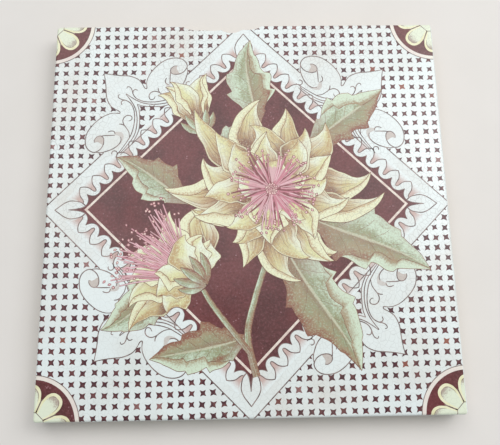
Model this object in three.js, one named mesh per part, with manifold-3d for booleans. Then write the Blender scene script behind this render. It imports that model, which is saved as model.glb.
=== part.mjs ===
// A six-inch wall tile of dust-pressed earthenware, with a clear glaze fused over its face.
// Millimetres, +Z up. The origin is the middle of the back, on the plane that the tile rests on.
// The back is moulded with square recesses between ribs, which key the mortar, and the rear
// edge of the face carries the old chip, with a nibbled corner beside it.

import * as THREE from 'three';
import { mergeVertices } from 'three/addons/utils/BufferGeometryUtils.js';
import Module from 'manifold-3d';

// Slab
const faceSide = 152.4;
const tileThickness = 9.5;
const glazeThickness = 0.4;
const cornerRadius = 1.6;
const sharpestCorner = 0.1;
const bodyArris = 0.6;
const backArris = 0.7;

// Moulded back: square recesses with sloping walls, between ribs that fill a plain border
const backBorder = 9.7;
const ribWidth = 3;
const recessesPerRow = 8;
const recessDepth = 1.4;
const recessCornerRadius = 2.2;
const recessFillet = 0.5;
const wallSlope = 0.35;

// Broken places, as scoops centred on the top edge of the slab. Each runs halfLength to either
// side of its place, bites inwards across the face and drops down the side.
const rearEdgeScoops = [
  { place: -18.4, halfLength: 6.8, bite: 2.2, drop: 4.2 },
  { place: -13.2, halfLength: 8.4, bite: 2.3, drop: 4.8 },
  { place: -5.6, halfLength: 5.2, bite: 3.4, drop: 6.2 },
  { place: 0.4, halfLength: 6.2, bite: 2.1, drop: 3.9 },
];
const cornerScoop = { halfLength: 1.9, bite: 2.3, drop: 2.6 };

// Fineness of the round stretches
const cornerSteps = 4;
const recessCornerSteps = 3;
const arrisSteps = 3;
const scoopSteps = 20;

const bodyFinish = { color: 0xd8cbb6, roughness: 0.9, metalness: 0 };
const glazeFinish = { color: 0xe3edeb, roughness: 0.15, metalness: 0 };

const quarterTurn = Math.PI / 2;
const cornersOfSquare = 4;

const wasm = await Module();
wasm.setup();

// One level of a square form with rounded corners, walked anticlockwise from +X
function squareRing(side, radius, z, steps, centre = new THREE.Vector2()) {
  const ring = [];
  const reach = side / 2 - radius;
  for (let corner = 0; corner < cornersOfSquare; corner += 1) {
    const diagonal = (corner + 1 / 2) * quarterTurn;
    const x = centre.x + Math.sign(Math.cos(diagonal)) * reach;
    const y = centre.y + Math.sign(Math.sin(diagonal)) * reach;
    for (let step = 0; step <= steps; step += 1) {
      const angle = (corner + step / steps) * quarterTurn;
      ring.push(new THREE.Vector3(x + radius * Math.cos(angle), y + radius * Math.sin(angle), z));
    }
  }
  return ring;
}

// A level of the slab, drawn in from its sides by an inset
function slabRing(inset, z) {
  const radius = Math.max(cornerRadius - inset, sharpestCorner);
  return squareRing(faceSide - 2 * inset, radius, z, cornerSteps);
}

// A closed body through rings of equal count, capped at the first and the last
function loft(rings) {
  const count = rings[0].length;
  const positions = rings.flat().flatMap((point) => [point.x, point.y, point.z]);
  const triangles = [];
  for (let level = 0; level + 1 < rings.length; level += 1) {
    for (let i = 0; i < count; i += 1) {
      const next = (i + 1) % count;
      const a = level * count + i;
      const b = level * count + next;
      triangles.push(a, b, b + count, a, b + count, a + count);
    }
  }
  const outline = rings[0].map((point) => new THREE.Vector2(point.x, point.y));
  const last = (rings.length - 1) * count;
  for (const [a, b, c] of THREE.ShapeUtils.triangulateShape(outline, [])) {
    triangles.push(a, c, b);
  }
  const lastOutline = rings.at(-1).map((point) => new THREE.Vector2(point.x, point.y));
  for (const [a, b, c] of THREE.ShapeUtils.triangulateShape(lastOutline, [])) {
    triangles.push(last + a, last + b, last + c);
  }
  const geometry = new THREE.BufferGeometry();
  geometry.setAttribute('position', new THREE.Float32BufferAttribute(positions, 3));
  geometry.setIndex(triangles);
  return geometry;
}

function toSolid(geometry) {
  const bare = geometry.clone();
  bare.deleteAttribute('normal');
  bare.deleteAttribute('uv');
  const merged = mergeVertices(bare);
  const mesh = new wasm.Mesh({
    numProp: 3,
    vertProperties: new Float32Array(merged.attributes.position.array),
    triVerts: new Uint32Array(merged.index.array),
  });
  return new wasm.Manifold(mesh);
}

function toGeometry(solid) {
  const mesh = solid.getMesh();
  const geometry = new THREE.BufferGeometry();
  geometry.setAttribute('position', new THREE.BufferAttribute(mesh.vertProperties, 3));
  geometry.setIndex(new THREE.BufferAttribute(mesh.triVerts, 1));
  geometry.computeVertexNormals();
  return geometry;
}

// Quarter-round from a side up to a flat, as pairs of inset and height above its foot
function quarterRound(width, height, steps) {
  const pairs = [];
  for (let step = 0; step <= steps; step += 1) {
    const angle = (step / steps) * quarterTurn;
    pairs.push([width * (1 - Math.cos(angle)), height * Math.sin(angle)]);
  }
  return pairs;
}

const bodyTop = tileThickness - glazeThickness;
const seamHeight = bodyTop - bodyArris;
const faceArris = bodyArris + glazeThickness;

// The rounded edge where body and glaze meet, from the seam on the sides to the flat of the body
function jointRings() {
  return quarterRound(faceArris, bodyArris, arrisSteps)
    .map(([inset, rise]) => slabRing(inset, seamHeight + rise));
}

function slabBlank() {
  const backRings = quarterRound(backArris, backArris, arrisSteps)
    .map(([inset, rise]) => slabRing(inset, backArris - rise))
    .reverse();
  return loft([...backRings, ...jointRings()]);
}

// The glaze is a crescent in section at the arris, and tapers to nothing at the seam
function glazeBlank() {
  const outerRings = quarterRound(faceArris, faceArris, arrisSteps)
    .map(([inset, rise]) => slabRing(inset, seamHeight + rise));
  const [, ...aboveSeam] = outerRings;
  return loft([...jointRings().reverse(), ...aboveSeam]);
}

const recessPitch = (faceSide - 2 * backBorder + ribWidth) / recessesPerRow;
const recessSide = recessPitch - ribWidth;

// One recess of the back, cut from below, wider at its mouth so that the tile leaves the die
function recessCutter(centre) {
  const overcut = recessFillet;
  const level = (z) => recessSide - 2 * z * wallSlope;
  const filletFoot = recessDepth - recessFillet;
  const floorSide = level(filletFoot) - 2 * recessFillet;
  const floorRadius = Math.max(recessCornerRadius - recessFillet, sharpestCorner);
  return loft([
    squareRing(level(-overcut), recessCornerRadius, -overcut, recessCornerSteps, centre),
    squareRing(level(filletFoot), recessCornerRadius, filletFoot, recessCornerSteps, centre),
    squareRing(floorSide, floorRadius, recessDepth, recessCornerSteps, centre),
  ]);
}

function recessCutters() {
  const first = -(recessesPerRow - 1) * recessPitch / 2;
  const cutters = [];
  for (let row = 0; row < recessesPerRow; row += 1) {
    for (let column = 0; column < recessesPerRow; column += 1) {
      const centre = new THREE.Vector2(first + column * recessPitch, first + row * recessPitch);
      cutters.push(toSolid(recessCutter(centre)));
    }
  }
  return cutters;
}

// A shell-shaped break: an ellipsoid on the top edge, turned about Z to lie along that edge
function scoopCutter({ halfLength, bite, drop }, x, y, turn) {
  const scoop = new THREE.SphereGeometry(1, scoopSteps, scoopSteps / 2);
  scoop.rotateX(quarterTurn);
  scoop.scale(halfLength, bite, drop);
  scoop.rotateZ(turn);
  scoop.translate(x, y, tileThickness);
  return toSolid(scoop);
}

function scoopCutters() {
  const edge = faceSide / 2;
  const alongRearEdge = rearEdgeScoops.map((scoop) => scoopCutter(scoop, scoop.place, edge, 0));
  const corner = edge - cornerRadius * (1 - Math.SQRT1_2);
  return [...alongRearEdge, scoopCutter(cornerScoop, -corner, corner, quarterTurn / 2)];
}

function cutAll(solid, cutters) {
  return cutters.reduce((left, cutter) => left.subtract(cutter), solid);
}

function piece(name, solid, finish) {
  const mesh = new THREE.Mesh(toGeometry(solid), new THREE.MeshStandardMaterial(finish));
  mesh.name = name;
  return mesh;
}

const breaks = scoopCutters();
const body = cutAll(toSolid(slabBlank()), [...recessCutters(), ...breaks]);
const glaze = cutAll(toSolid(glazeBlank()), breaks);

const tile = new THREE.Group();
tile.add(piece('biscuit_body', body, bodyFinish));
tile.add(piece('glaze_coat', glaze, glazeFinish));

export default tile;
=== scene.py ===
"""Looks of an old six-inch wall tile: transfer-printed earthenware under a clear, crazed glaze.

The print is laid out flat in millimetres, X to the right and Y up, from the middle of the face.
Each printed motif is a thin sheet that follows the face and its rounded edge, and motifs overlap
in the order in which they are lifted off the ground colour.
"""
import math
import random
import bmesh
import bpy
from mathutils import Matrix, Vector, noise
from mathutils.geometry import tessellate_polygon


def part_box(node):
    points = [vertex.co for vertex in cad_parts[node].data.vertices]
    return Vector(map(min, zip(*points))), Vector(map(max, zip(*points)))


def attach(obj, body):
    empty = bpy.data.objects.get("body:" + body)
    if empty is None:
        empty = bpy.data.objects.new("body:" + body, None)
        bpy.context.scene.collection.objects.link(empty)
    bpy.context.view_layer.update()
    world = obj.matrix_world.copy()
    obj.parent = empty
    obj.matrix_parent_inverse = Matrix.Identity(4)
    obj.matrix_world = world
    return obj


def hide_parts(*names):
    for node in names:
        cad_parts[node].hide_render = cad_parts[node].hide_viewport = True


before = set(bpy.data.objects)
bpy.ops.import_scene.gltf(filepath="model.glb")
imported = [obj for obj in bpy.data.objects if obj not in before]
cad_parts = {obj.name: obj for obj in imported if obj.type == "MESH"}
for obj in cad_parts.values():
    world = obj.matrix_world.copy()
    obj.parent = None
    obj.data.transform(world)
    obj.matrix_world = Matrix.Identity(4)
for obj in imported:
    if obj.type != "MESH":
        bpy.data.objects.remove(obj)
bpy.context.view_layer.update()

MM = 0.001
FULL_TURN = 2 * math.pi
QUARTER_TURN = math.pi / 2
EIGHTH_TURN = math.pi / 4
GOLDEN_TURN = FULL_TURN * (3 - math.sqrt(5)) / 2

# The slab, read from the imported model, in millimetres
body_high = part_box("biscuit_body")[1]
glaze_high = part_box("glaze_coat")[1]
FACE_HALF = body_high.x / MM
TOP = glaze_high.z / MM
BODY_TOP = body_high.z / MM

# Face and edge
CORNER_RADIUS = 1.2
ARRIS = 1.0
PRINT_ROOM = 0.3
FACE_Z = TOP - PRINT_ROOM
ARRIS_STEPS = 6
ARRIS_ANGLES = [step / ARRIS_STEPS * QUARTER_TURN for step in range(ARRIS_STEPS + 1)]
ARRIS_INSETS = [ARRIS * (1 - math.cos(angle)) for angle in ARRIS_ANGLES]

# Lifts of the printed layers above the ground, lowest first
LAYERS = ("stars", "reserve", "window_stars", "field", "shade", "outline", "ribbon", "bud", "line", "spray")
LAYER_STEP = 0.006
SPRAY_STEP = 0.0007
LIFT = {name: (order + 1) * LAYER_STEP for order, name in enumerate(LAYERS)}

# Layout of the print, which was laid a little askew on the slab. It stops short of the right, rear, left
# and front edge and of the rounded corners. The edges of the square that stands on its corner are
# measured from its centre.
PRINT_CENTRE = (-0.5, 0.15)
PRINT_TURN = math.radians(0.33)
PRINT_STOPS = (0.5, 0.1, 0.2, 0.15)
CORNER_STOP = 0.15
CORNER_SHARES = (0, 0.25, 0.5, 0.75)
FIELD_EDGE = 42.4
CREAM_EDGE = 43.25
STRIP_EDGE = 47.0
BAND_EDGE = 54.5
LINE_WIDTH = 0.36
THIN_LINE = LINE_WIDTH * 0.7

COLUMN_PITCH = 3.824
ROW_PITCH = 3.833
STAR_CENTRE = (-0.62, 0.26)
STARS_PER_SIDE = 40
STAR_REACH = 1.6
STAR_WAIST = 0.72
STAR_WANDER = 0.1
STAR_TURN_SPREAD = 0.14
STAR_SIZE_SPREAD = 0.1

# Where the transfer paper stretched as it was laid: the middle and reach of the place, and the slip
# of its stars
STRETCHES = (
    ((-56, 70), 22, (0.9, 0.1)),
    ((-38, -70), 26, (0.35, -0.6)),
    ((64, -56), 24, (0.1, 0.45)),
)

FOLD_PITCH = 6.42
FOLDS_PER_SIDE = 13

ROSETTE_SPREAD = 76.85
ROSETTE_RADIUS = 15.5
ROSETTE_RING = 17.0
ROSETTE_BUTTON = 4.8

SEED = 1887


def srgb(code):
    """A colour such as "E3EDEB" as linear red, green, blue and alpha, by the standard sRGB curve."""
    channels = [int(code[i:i + 2], 16) / 255 for i in (0, 2, 4)]
    linear = [c / 12.92 if c <= 0.04045 else ((c + 0.055) / 1.055) ** 2.4 for c in channels]
    return (*linear, 1.0)


# Ground and glaze
WHITE_GROUND = srgb("E0E8E6")
GREY_GROUND = srgb("DADFDB")
GLAZE_EDGE = srgb("DDDDD2")
GLAZE_EDGE_TAN = srgb("B9B3A2")
STAIN_TAN = srgb("C9B8A6")
CRACK_GREY = srgb("8F8783")
SPECK_PINK = srgb("C79BA2")

# Stars, field, frame and scrolls
MAROON = srgb("6A3434")
MAROON_DEEP = srgb("552B2A")
MAROON_DARK_GRAIN = srgb("34181A")
MAROON_LIGHT_GRAIN = srgb("88565C")
STAR_BROWN = srgb("48232A")
STAR_THIN_INK = srgb("6A3E3E")
STAR_RUST = srgb("A5634F")
STAR_FAINT = srgb("B98E88")
LINE_BROWN = srgb("5C4744")
LINE_FAINT = srgb("95807A")
ROSE_TAN = srgb("C3A9A1")
GREY_TAN = srgb("BAACA2")
CREAM = srgb("E7DDD0")
CREAM_DULL = srgb("D4BFB3")

# Corner rosettes
RING_CREAM = srgb("E6E2D6")
RING_ROSE = srgb("DFD3CC")
RIM_PALE = srgb("E8E6C4")
RIM_YELLOW = srgb("DFDCB0")
ROSETTE_GREEN = srgb("DCE3CC")
ROSETTE_SHADOW = srgb("8C6763")

# Flowers and leaves
PETAL_WHITE = srgb("E3EAD3")
PETAL_PALE = srgb("E2E4C0")
PETAL_YELLOW = srgb("D9D9A4")
PETAL_TAN = srgb("B38D62")
PETAL_BROWN = srgb("6F4237")
INK_BROWN = srgb("6B4035")
INK_FAINT = srgb("A07C60")
LEAF_PALE = srgb("C7D8C1")
LEAF_SAGE = srgb("959B79")
LEAF_TAN = srgb("A18E70")
LEAF_BROWN = srgb("8A5444")
LEAF_MIDRIB = srgb("CBCDB2")
LEAF_BACK = srgb("CDDCC4")
PINK_LIGHT = srgb("E5C2C6")
PINK = srgb("D3ABAD")
PINK_HOT = srgb("C27B88")
PINK_DEEP = srgb("804549")
ANTHER_EDGE = srgb("A8666C")
ANTHER_CREAM = srgb("E9CFC4")
ANTHER_PINK = srgb("D3A3A4")

# Bare clay and floor
BISCUIT = srgb("DFD4C1")
BISCUIT_TAN = srgb("C8B99F")
SOIL = srgb("9A8B77")
# Painted shade for the pits of the pores in the bare clay
PORE_SHADE = srgb("5F5243")
FLOOR_GREY = srgb("D8D4CE")
FLOOR_PALE = srgb("DEDAD5")


class Graph:
    """A node tree under construction. Most calls add one node and give back an output socket."""

    def __init__(self, tree):
        self.tree = tree

    def node(self, kind, values, **settings):
        node = self.tree.nodes.new(kind)
        for name, value in settings.items():
            setattr(node, name, value)
        for key, value in values.items():
            if isinstance(value, bpy.types.NodeSocket):
                self.tree.links.new(value, node.inputs[key])
            else:
                node.inputs[key].default_value = value
        return node

    def add(self, kind, values=None, output=0, **settings):
        return self.node(kind, values or {}, **settings).outputs[output]

    def place(self):
        return self.add("ShaderNodeTexCoord", output="Object")

    def attribute(self, name):
        return self.add("ShaderNodeAttribute", output="Fac", attribute_name=name)

    def math(self, operation, *values):
        return self.add("ShaderNodeMath", dict(enumerate(values)), operation=operation)

    def combine(self, **axes):
        return self.add("ShaderNodeCombineXYZ", axes)

    def mix(self, factor, first, second):
        return self.add("ShaderNodeMix", {0: factor, 6: first, 7: second}, output=2, data_type="RGBA")

    def noise(self, vector, scale, detail=2.0, roughness=0.5):
        values = {"Vector": vector, "Scale": scale, "Detail": detail, "Roughness": roughness}
        return self.add("ShaderNodeTexNoise", values)

    def cells(self, vector, scale, **settings):
        return self.add("ShaderNodeTexVoronoi", {"Vector": vector, "Scale": scale}, **settings)

    def bump(self, height, strength, distance):
        return self.add("ShaderNodeBump", {"Height": height, "Strength": strength, "Distance": distance})

    def span(self, value, low, high, to_low=0.0, to_high=1.0):
        """Maps low..high to to_low..to_high smoothly, and stays within them."""
        values = {0: value, 1: low, 2: high, 3: to_low, 4: to_high}
        return self.add("ShaderNodeMapRange", values, interpolation_type="SMOOTHSTEP")

    def weighted(self, *terms):
        """The sum of values, each given with its weight."""
        total = 0.0
        for value, weight in terms:
            total = self.math("MULTIPLY_ADD", value, weight, total)
        return total

    def ramp(self, terms, low, high, to_low=0.0, to_high=1.0):
        """The span of a weighted sum."""
        return self.span(self.weighted(*terms), low, high, to_low, to_high)


def new_group(kind, name, inputs, outputs):
    """A node group with sockets given as (name, type, default), with its graph and its two ends."""
    tree = bpy.data.node_groups.new(name, kind)
    for label, socket_type, default in inputs:
        socket = tree.interface.new_socket(label, in_out="INPUT", socket_type=socket_type)
        if default is not None:
            socket.default_value = default
    for label, socket_type in outputs:
        tree.interface.new_socket(label, in_out="OUTPUT", socket_type=socket_type)
    source = tree.nodes.new("NodeGroupInput").outputs
    sink = tree.nodes.new("NodeGroupOutput").inputs
    return Graph(tree), source, sink


# Features of the aged glaze. Scales are in cells or waves per metre, and lengths in metres.
CRAZE_CELLS = 560.0
CRAZE_WANDER_SCALE = 160.0
CRAZE_WANDER = (0.005, 0.005, 0)
CRAZE_FRONT = -0.075
CRAZE_MIDDLE = 0.02
CRAZE_FRONT_SHARE = 0.45
CRAZE_PATCH_SCALE = 45
CRACK_WIDTH = 0.09
CRACK_DEPTH = 0.35
STAIN_SCALE = 38
SPECK_CELLS = 700.0
SPECK_PATCH_SCALE = 260
HAZE_SCALE = 60
LEAST_HAZE = 0.2
MOST_HAZE = 0.34
RIPPLE_SCALE = 140
RIPPLE_STRENGTH = 0.25
RIPPLE_HEIGHT = 0.00012
GLAZE_IOR = 1.48

# Grain of the inks and colours, in waves per metre
DRIFT_DETAIL = 3.0
DRIFT_LOW = 0.35
DRIFT_HIGH = 0.7
FIELD_DRIFT_SCALE = 75
FIELD_GRAIN_SCALE = 1100
STAR_BLOTCH_SCALE = 900
SHADE_GRAIN_SCALE = 1500
SHADE_GRAIN = 0.3
BRUSH_GRAIN_SCALE = 1400
BRUSH_BLOTCH_SCALE = 150
STAMEN_GRAIN_SCALE = 500
ROSETTE_BLUR_SCALE = 400
ROSETTE_DOT_SCALE = 2200

# Grain of the bare clay, in waves or cells per metre, and the height of the grain in metres
CLAY_SCALE = 220
SOIL_SCALE = 60
PORE_CELLS = 1100.0
CLAY_GRAIN_SCALE = 2600
CLAY_GRAIN_HEIGHT = 0.0002

# How often brush strokes change across and along a blade, and from one blade to the next
STROKES_ACROSS = 11.0
STROKES_ALONG = 2.2
STROKES_BY_TONE = 60.0


def build_aged_glaze():
    """Crazing that fades towards the front, stains, specks and ripples over any printed colour."""
    graph, source, sink = new_group(
        "ShaderNodeTree", "aged_glaze",
        [("Print", "NodeSocketColor", WHITE_GROUND),
         ("Crazing", "NodeSocketFloat", 0.3),
         ("Stain", "NodeSocketFloat", 0.3),
         ("Wear", "NodeSocketFloat", 0.0)],
        [("Color", "NodeSocketColor"), ("Roughness", "NodeSocketFloat"), ("Normal", "NodeSocketVector")])
    place = graph.place()
    wander = graph.add("ShaderNodeTexNoise", {"Vector": place, "Scale": CRAZE_WANDER_SCALE}, output="Color")
    offset = graph.add("ShaderNodeVectorMath", {0: wander, 1: CRAZE_WANDER}, operation="MULTIPLY")
    bent = graph.add("ShaderNodeVectorMath", {0: place, 1: offset}, operation="ADD")
    cells = graph.cells(bent, CRAZE_CELLS, feature="DISTANCE_TO_EDGE", voronoi_dimensions="2D")
    cracks = graph.span(cells, 0.0, CRACK_WIDTH, 1.0, 0.0)
    rearwards = graph.add("ShaderNodeSeparateXYZ", {0: place}, output="Y")
    fading = graph.span(rearwards, CRAZE_FRONT, CRAZE_MIDDLE, CRAZE_FRONT_SHARE, 1.0)
    patches = graph.span(graph.noise(place, CRAZE_PATCH_SCALE, 2), 0.3, 0.66, 0.25, 1.0)
    patchy = graph.math("MULTIPLY", patches, fading)
    crack_mask = graph.math("MULTIPLY", graph.math("MULTIPLY", cracks, patchy), source["Crazing"])
    stains = graph.span(graph.noise(place, STAIN_SCALE, 4, 0.6), 0.5, 0.78)
    stained = graph.mix(graph.math("MULTIPLY", stains, source["Stain"]), source["Print"], STAIN_TAN)
    crazed = graph.mix(crack_mask, stained, CRACK_GREY)
    dots = graph.span(graph.cells(place, SPECK_CELLS, voronoi_dimensions="2D"), 0.1, 0.24, 1.0, 0.0)
    dotted = graph.span(graph.noise(place, SPECK_PATCH_SCALE, 3), 0.6, 0.72)
    specks = graph.math("MULTIPLY", graph.math("MULTIPLY", dots, dotted), source["Wear"])
    graph.tree.links.new(graph.mix(specks, crazed, SPECK_PINK), sink["Color"])
    haze = graph.span(graph.noise(place, HAZE_SCALE, 3), 0.35, 0.75, LEAST_HAZE, MOST_HAZE)
    graph.tree.links.new(haze, sink["Roughness"])
    ripple = graph.noise(place, RIPPLE_SCALE, 1)
    relief = graph.math("SUBTRACT", ripple, graph.math("MULTIPLY", crack_mask, CRACK_DEPTH))
    graph.tree.links.new(graph.bump(relief, RIPPLE_STRENGTH, RIPPLE_HEIGHT), sink["Normal"])
    return graph.tree


AGED_GLAZE = build_aged_glaze()


def new_material(name):
    material = bpy.data.materials.new(name)
    material.use_nodes = True
    material.node_tree.nodes.clear()
    return material, Graph(material.node_tree)


def surface(graph, values):
    """Ends a material's graph in a shader with the given values."""
    shader = graph.add("ShaderNodeBsdfPrincipled", values)
    graph.node("ShaderNodeOutputMaterial", {"Surface": shader})


def glazed(name, colour_of, crazing=0.3, stain=0.25, wear=0.0):
    """A printed colour under the glaze. colour_of builds the colour in the material's graph."""
    material, graph = new_material(name)
    values = {"Print": colour_of(graph), "Crazing": crazing, "Stain": stain, "Wear": wear}
    aged = graph.node("ShaderNodeGroup", values, node_tree=AGED_GLAZE).outputs
    surface(graph, {"Base Color": aged["Color"], "Roughness": aged["Roughness"], "Normal": aged["Normal"],
                    "IOR": GLAZE_IOR})
    return material


def mottled(first, second, scale):
    """A colour that drifts between two over the face, as a hand-inked print does."""
    def colour(graph):
        drift = graph.span(graph.noise(graph.place(), scale, DRIFT_DETAIL), DRIFT_LOW, DRIFT_HIGH)
        return graph.mix(drift, first, second)
    return colour


def star_colour(graph):
    """Uneven brown ink. A few stars came out rusty and a few faint."""
    tone = graph.attribute("tone")
    blotches = graph.ramp(((graph.noise(graph.place(), STAR_BLOTCH_SCALE, 2), 1.5), (tone, 0.35)), 0.7, 1.2)
    ink = graph.mix(blotches, STAR_BROWN, STAR_THIN_INK)
    rusty = graph.mix(graph.span(tone, 0.025, 0.0, 0.0, 0.7), ink, STAR_RUST)
    return graph.mix(graph.span(tone, 0.97, 1.0, 0.0, 0.4), rusty, STAR_FAINT)


def shaded(full):
    """A tan that is full in a fold or a hollow and dies away into the white ground."""
    def colour(graph):
        grain = graph.noise(graph.place(), SHADE_GRAIN_SCALE, 2)
        unevenness = graph.math("MULTIPLY_ADD", grain, SHADE_GRAIN, -SHADE_GRAIN / 2)
        depth = graph.math("ADD", graph.attribute("depth"), unevenness)
        return graph.mix(graph.span(depth, 0.05, 0.95), WHITE_GROUND, full)
    return colour


def centred(graph, value):
    """A noise value about nothing instead of about a half."""
    return graph.math("SUBTRACT", value, 0.5)


def brushwork(graph):
    """Unevenness of painted work about nothing: strokes along a blade, fine grain and broad blotches."""
    place = graph.place()
    run = graph.combine(X=graph.math("MULTIPLY", graph.attribute("across"), STROKES_ACROSS),
                        Y=graph.math("MULTIPLY", graph.attribute("along"), STROKES_ALONG),
                        Z=graph.math("MULTIPLY", graph.attribute("tone"), STROKES_BY_TONE))
    strokes = graph.noise(run, 1.0, 3, 0.6)
    grain = graph.noise(place, BRUSH_GRAIN_SCALE, 3, 0.75)
    blotches = graph.noise(place, BRUSH_BLOTCH_SCALE, 2)
    return [centred(graph, value) for value in (strokes, grain, blotches)]


def stippled(graph, colour, grain, dark, light, strength):
    """A colour broken up into dots a little darker and lighter than itself."""
    darkened = graph.mix(graph.span(grain, 0.0, 0.2, 0.0, strength), colour, dark)
    return graph.mix(graph.span(grain, 0.0, -0.2, 0.0, strength), darkened, light)


def field_colour(graph):
    """Maroon that drifts over the face and is broken up by the fine grain of its ink."""
    maroon = mottled(MAROON, MAROON_DEEP, FIELD_DRIFT_SCALE)(graph)
    grain = centred(graph, graph.noise(graph.place(), FIELD_GRAIN_SCALE, 3, 0.75))
    return stippled(graph, maroon, grain, MAROON_DARK_GRAIN, MAROON_LIGHT_GRAIN, 0.42)


def petal_colour(graph):
    """Near white along its back, tan on one flank, brown where it comes out from under the next."""
    across = graph.attribute("across")
    along = graph.attribute("along")
    strokes, grain, blotches = brushwork(graph)
    shown = graph.math("SUBTRACT", along, graph.attribute("cover"))
    root = graph.ramp(((shown, 1.0), (strokes, 0.5), (grain, 0.6)), -0.02, 0.4, 1.0, 0.0)
    dark_side = graph.math("GREATER_THAN", graph.attribute("tone"), 0.5)
    mirrored = graph.math("SUBTRACT", 1.0, across)
    flank = graph.add("ShaderNodeMix", {0: dark_side, 2: across, 3: mirrored}, data_type="FLOAT")
    lean = graph.ramp(((flank, 1.0), (strokes, 0.7), (grain, 0.9), (blotches, 0.9)), 0.5, 1.0)
    tip = graph.ramp(((along, 1.0), (grain, 0.3), (blotches, 0.3)), 0.84, 1.04, 0.0, 0.5)
    back = graph.ramp(((flank, -1.0), (blotches, 1.2), (strokes, 0.5), (grain, 0.6)), -0.6, -0.1)
    light = graph.mix(back, PETAL_YELLOW, PETAL_WHITE)
    shade = graph.math("MAXIMUM", graph.math("MAXIMUM", root, graph.math("MULTIPLY", lean, 0.85)), tip)
    tanned = graph.mix(graph.math("MULTIPLY", shade, 0.95), light, PETAL_TAN)
    depth = graph.ramp(((root, 0.9), (lean, 0.35), (strokes, 0.9), (grain, 0.9)), 0.6, 1.1, 0.0, 0.9)
    deep = graph.mix(depth, tanned, PETAL_BROWN)
    off_middle = graph.math("ABSOLUTE", graph.math("SUBTRACT", across, 0.5))
    rim = graph.ramp(((off_middle, 1.0), (grain, 0.04)), 0.425, 0.47, 0.0, 0.75)
    rimmed = graph.mix(rim, deep, PETAL_PALE)
    lip_shade = graph.ramp(((across, 1.0), (grain, 0.9), (strokes, 0.5)), 0.55, 1.1, 0.0, 0.8)
    lip = graph.mix(lip_shade, PETAL_PALE, PETAL_TAN)
    painted = graph.mix(graph.attribute("turn"), rimmed, lip)
    return stippled(graph, painted, grain, PETAL_TAN, PETAL_WHITE, 0.4)


def leaf_colour(graph):
    """Pale green turning tan, red brown along the margin and the fold, with a pale midrib."""
    across = graph.attribute("across")
    along = graph.attribute("along")
    strokes, grain, blotches = brushwork(graph)
    uneven = graph.weighted((across, 1.0), (strokes, 0.45), (grain, 0.7), (blotches, 0.9))
    green = graph.mix(graph.span(uneven, 0.05, 0.5), LEAF_PALE, LEAF_SAGE)
    turned = graph.mix(graph.span(uneven, 0.45, 0.85, 0.0, 0.9), green, LEAF_TAN)
    root = graph.ramp(((along, 1.0), (strokes, 0.3), (blotches, 0.6)), 0.05, 0.4, 0.7, 0.0)
    off_middle = graph.math("ABSOLUTE", graph.math("SUBTRACT", across, 0.5))
    flank = graph.ramp(((across, 1.0), (blotches, 1.2)), 0.25, 0.75, 0.25, 1.0)
    edge = graph.ramp(((off_middle, 1.0), (grain, 0.5), (strokes, 0.4), (blotches, 0.6)), 0.27, 0.52)
    margin = graph.math("MULTIPLY", edge, flank)
    past_rib = graph.math("GREATER_THAN", across, 0.5)
    fold = graph.ramp(((across, 1.0), (along, 0.2), (grain, 0.4), (strokes, 0.3)), 0.52, 0.8, 0.7, 0.0)
    hollow = graph.math("MULTIPLY", fold, past_rib)
    shade = graph.math("MAXIMUM", graph.math("MAXIMUM", root, hollow), margin)
    browned = graph.mix(shade, turned, LEAF_BROWN)
    midrib = graph.ramp(((off_middle, 1.0), (grain, 0.02)), 0.012, 0.04, 0.75, 0.0)
    ribbed = graph.mix(midrib, browned, LEAF_MIDRIB)
    lip = graph.mix(graph.span(uneven, 0.4, 1.0), LEAF_BACK, LEAF_TAN)
    painted = graph.mix(graph.attribute("turn"), ribbed, lip)
    return stippled(graph, painted, grain, LEAF_TAN, LEAF_PALE, 0.45)


def stamen_colour(graph):
    """Pink that pales with its tone, from the foot of a filament to its tip."""
    grain = graph.noise(graph.place(), STAMEN_GRAIN_SCALE)
    tone = graph.weighted((graph.attribute("tone"), 1.0), (grain, 0.3))
    deep = graph.mix(graph.span(tone, 0.2, 0.3), PINK_DEEP, PINK_HOT)
    pink = graph.mix(graph.span(tone, 0.4, 0.7), deep, PINK)
    return graph.mix(graph.span(tone, 0.9, 1.15), pink, PINK_LIGHT)


def rosette_face_colour(graph):
    """Pale green with a stippled purple-brown shadow towards the round end of each petal."""
    blur = graph.noise(graph.place(), ROSETTE_BLUR_SCALE, 2)
    dots = graph.noise(graph.place(), ROSETTE_DOT_SCALE, 1)
    shadow = graph.ramp(((graph.attribute("depth"), 1.0), (blur, 3.0), (dots, 4.0)), 13.2, 16.4, 0.0, 0.7)
    return graph.mix(shadow, ROSETTE_GREEN, ROSETTE_SHADOW)


GROUND_FINISH = glazed("printed_ground", mottled(WHITE_GROUND, GREY_GROUND, 55), crazing=0.42, stain=0.3)
GLAZE_EDGE_FINISH = glazed("broken_glaze", mottled(GLAZE_EDGE, GLAZE_EDGE_TAN, 900), crazing=0.0, stain=0.4)
STAR_FINISH = glazed("star_print", star_colour, crazing=0.1, stain=0.1)
FIELD_FINISH = glazed("maroon_field", field_colour, crazing=0.06, stain=0.0, wear=0.45)
LINE_FINISH = glazed("fine_line_print", mottled(LINE_BROWN, LINE_FAINT, 420), crazing=0.1, stain=0.1)
SHADE_FINISH = glazed("ribbon_shade", shaded(ROSE_TAN), crazing=0.3, stain=0.2)
SCROLL_SHADE_FINISH = glazed("scroll_shade", shaded(GREY_TAN), crazing=0.3, stain=0.2)
CREAM_FINISH = glazed("cream_line", mottled(CREAM, CREAM_DULL, 600), crazing=0.2, stain=0.2)
PETAL_FINISH = glazed("petal_print", petal_colour, crazing=0.4, stain=0.1)
LEAF_FINISH = glazed("leaf_print", leaf_colour, crazing=0.35, stain=0.1)
PINK_FINISH = glazed("stamen_print", stamen_colour, crazing=0.2, stain=0.05)
ANTHER_RIM_FINISH = glazed("anther_rim", mottled(PINK_DEEP, ANTHER_EDGE, 500), crazing=0.1, stain=0.05)
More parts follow.
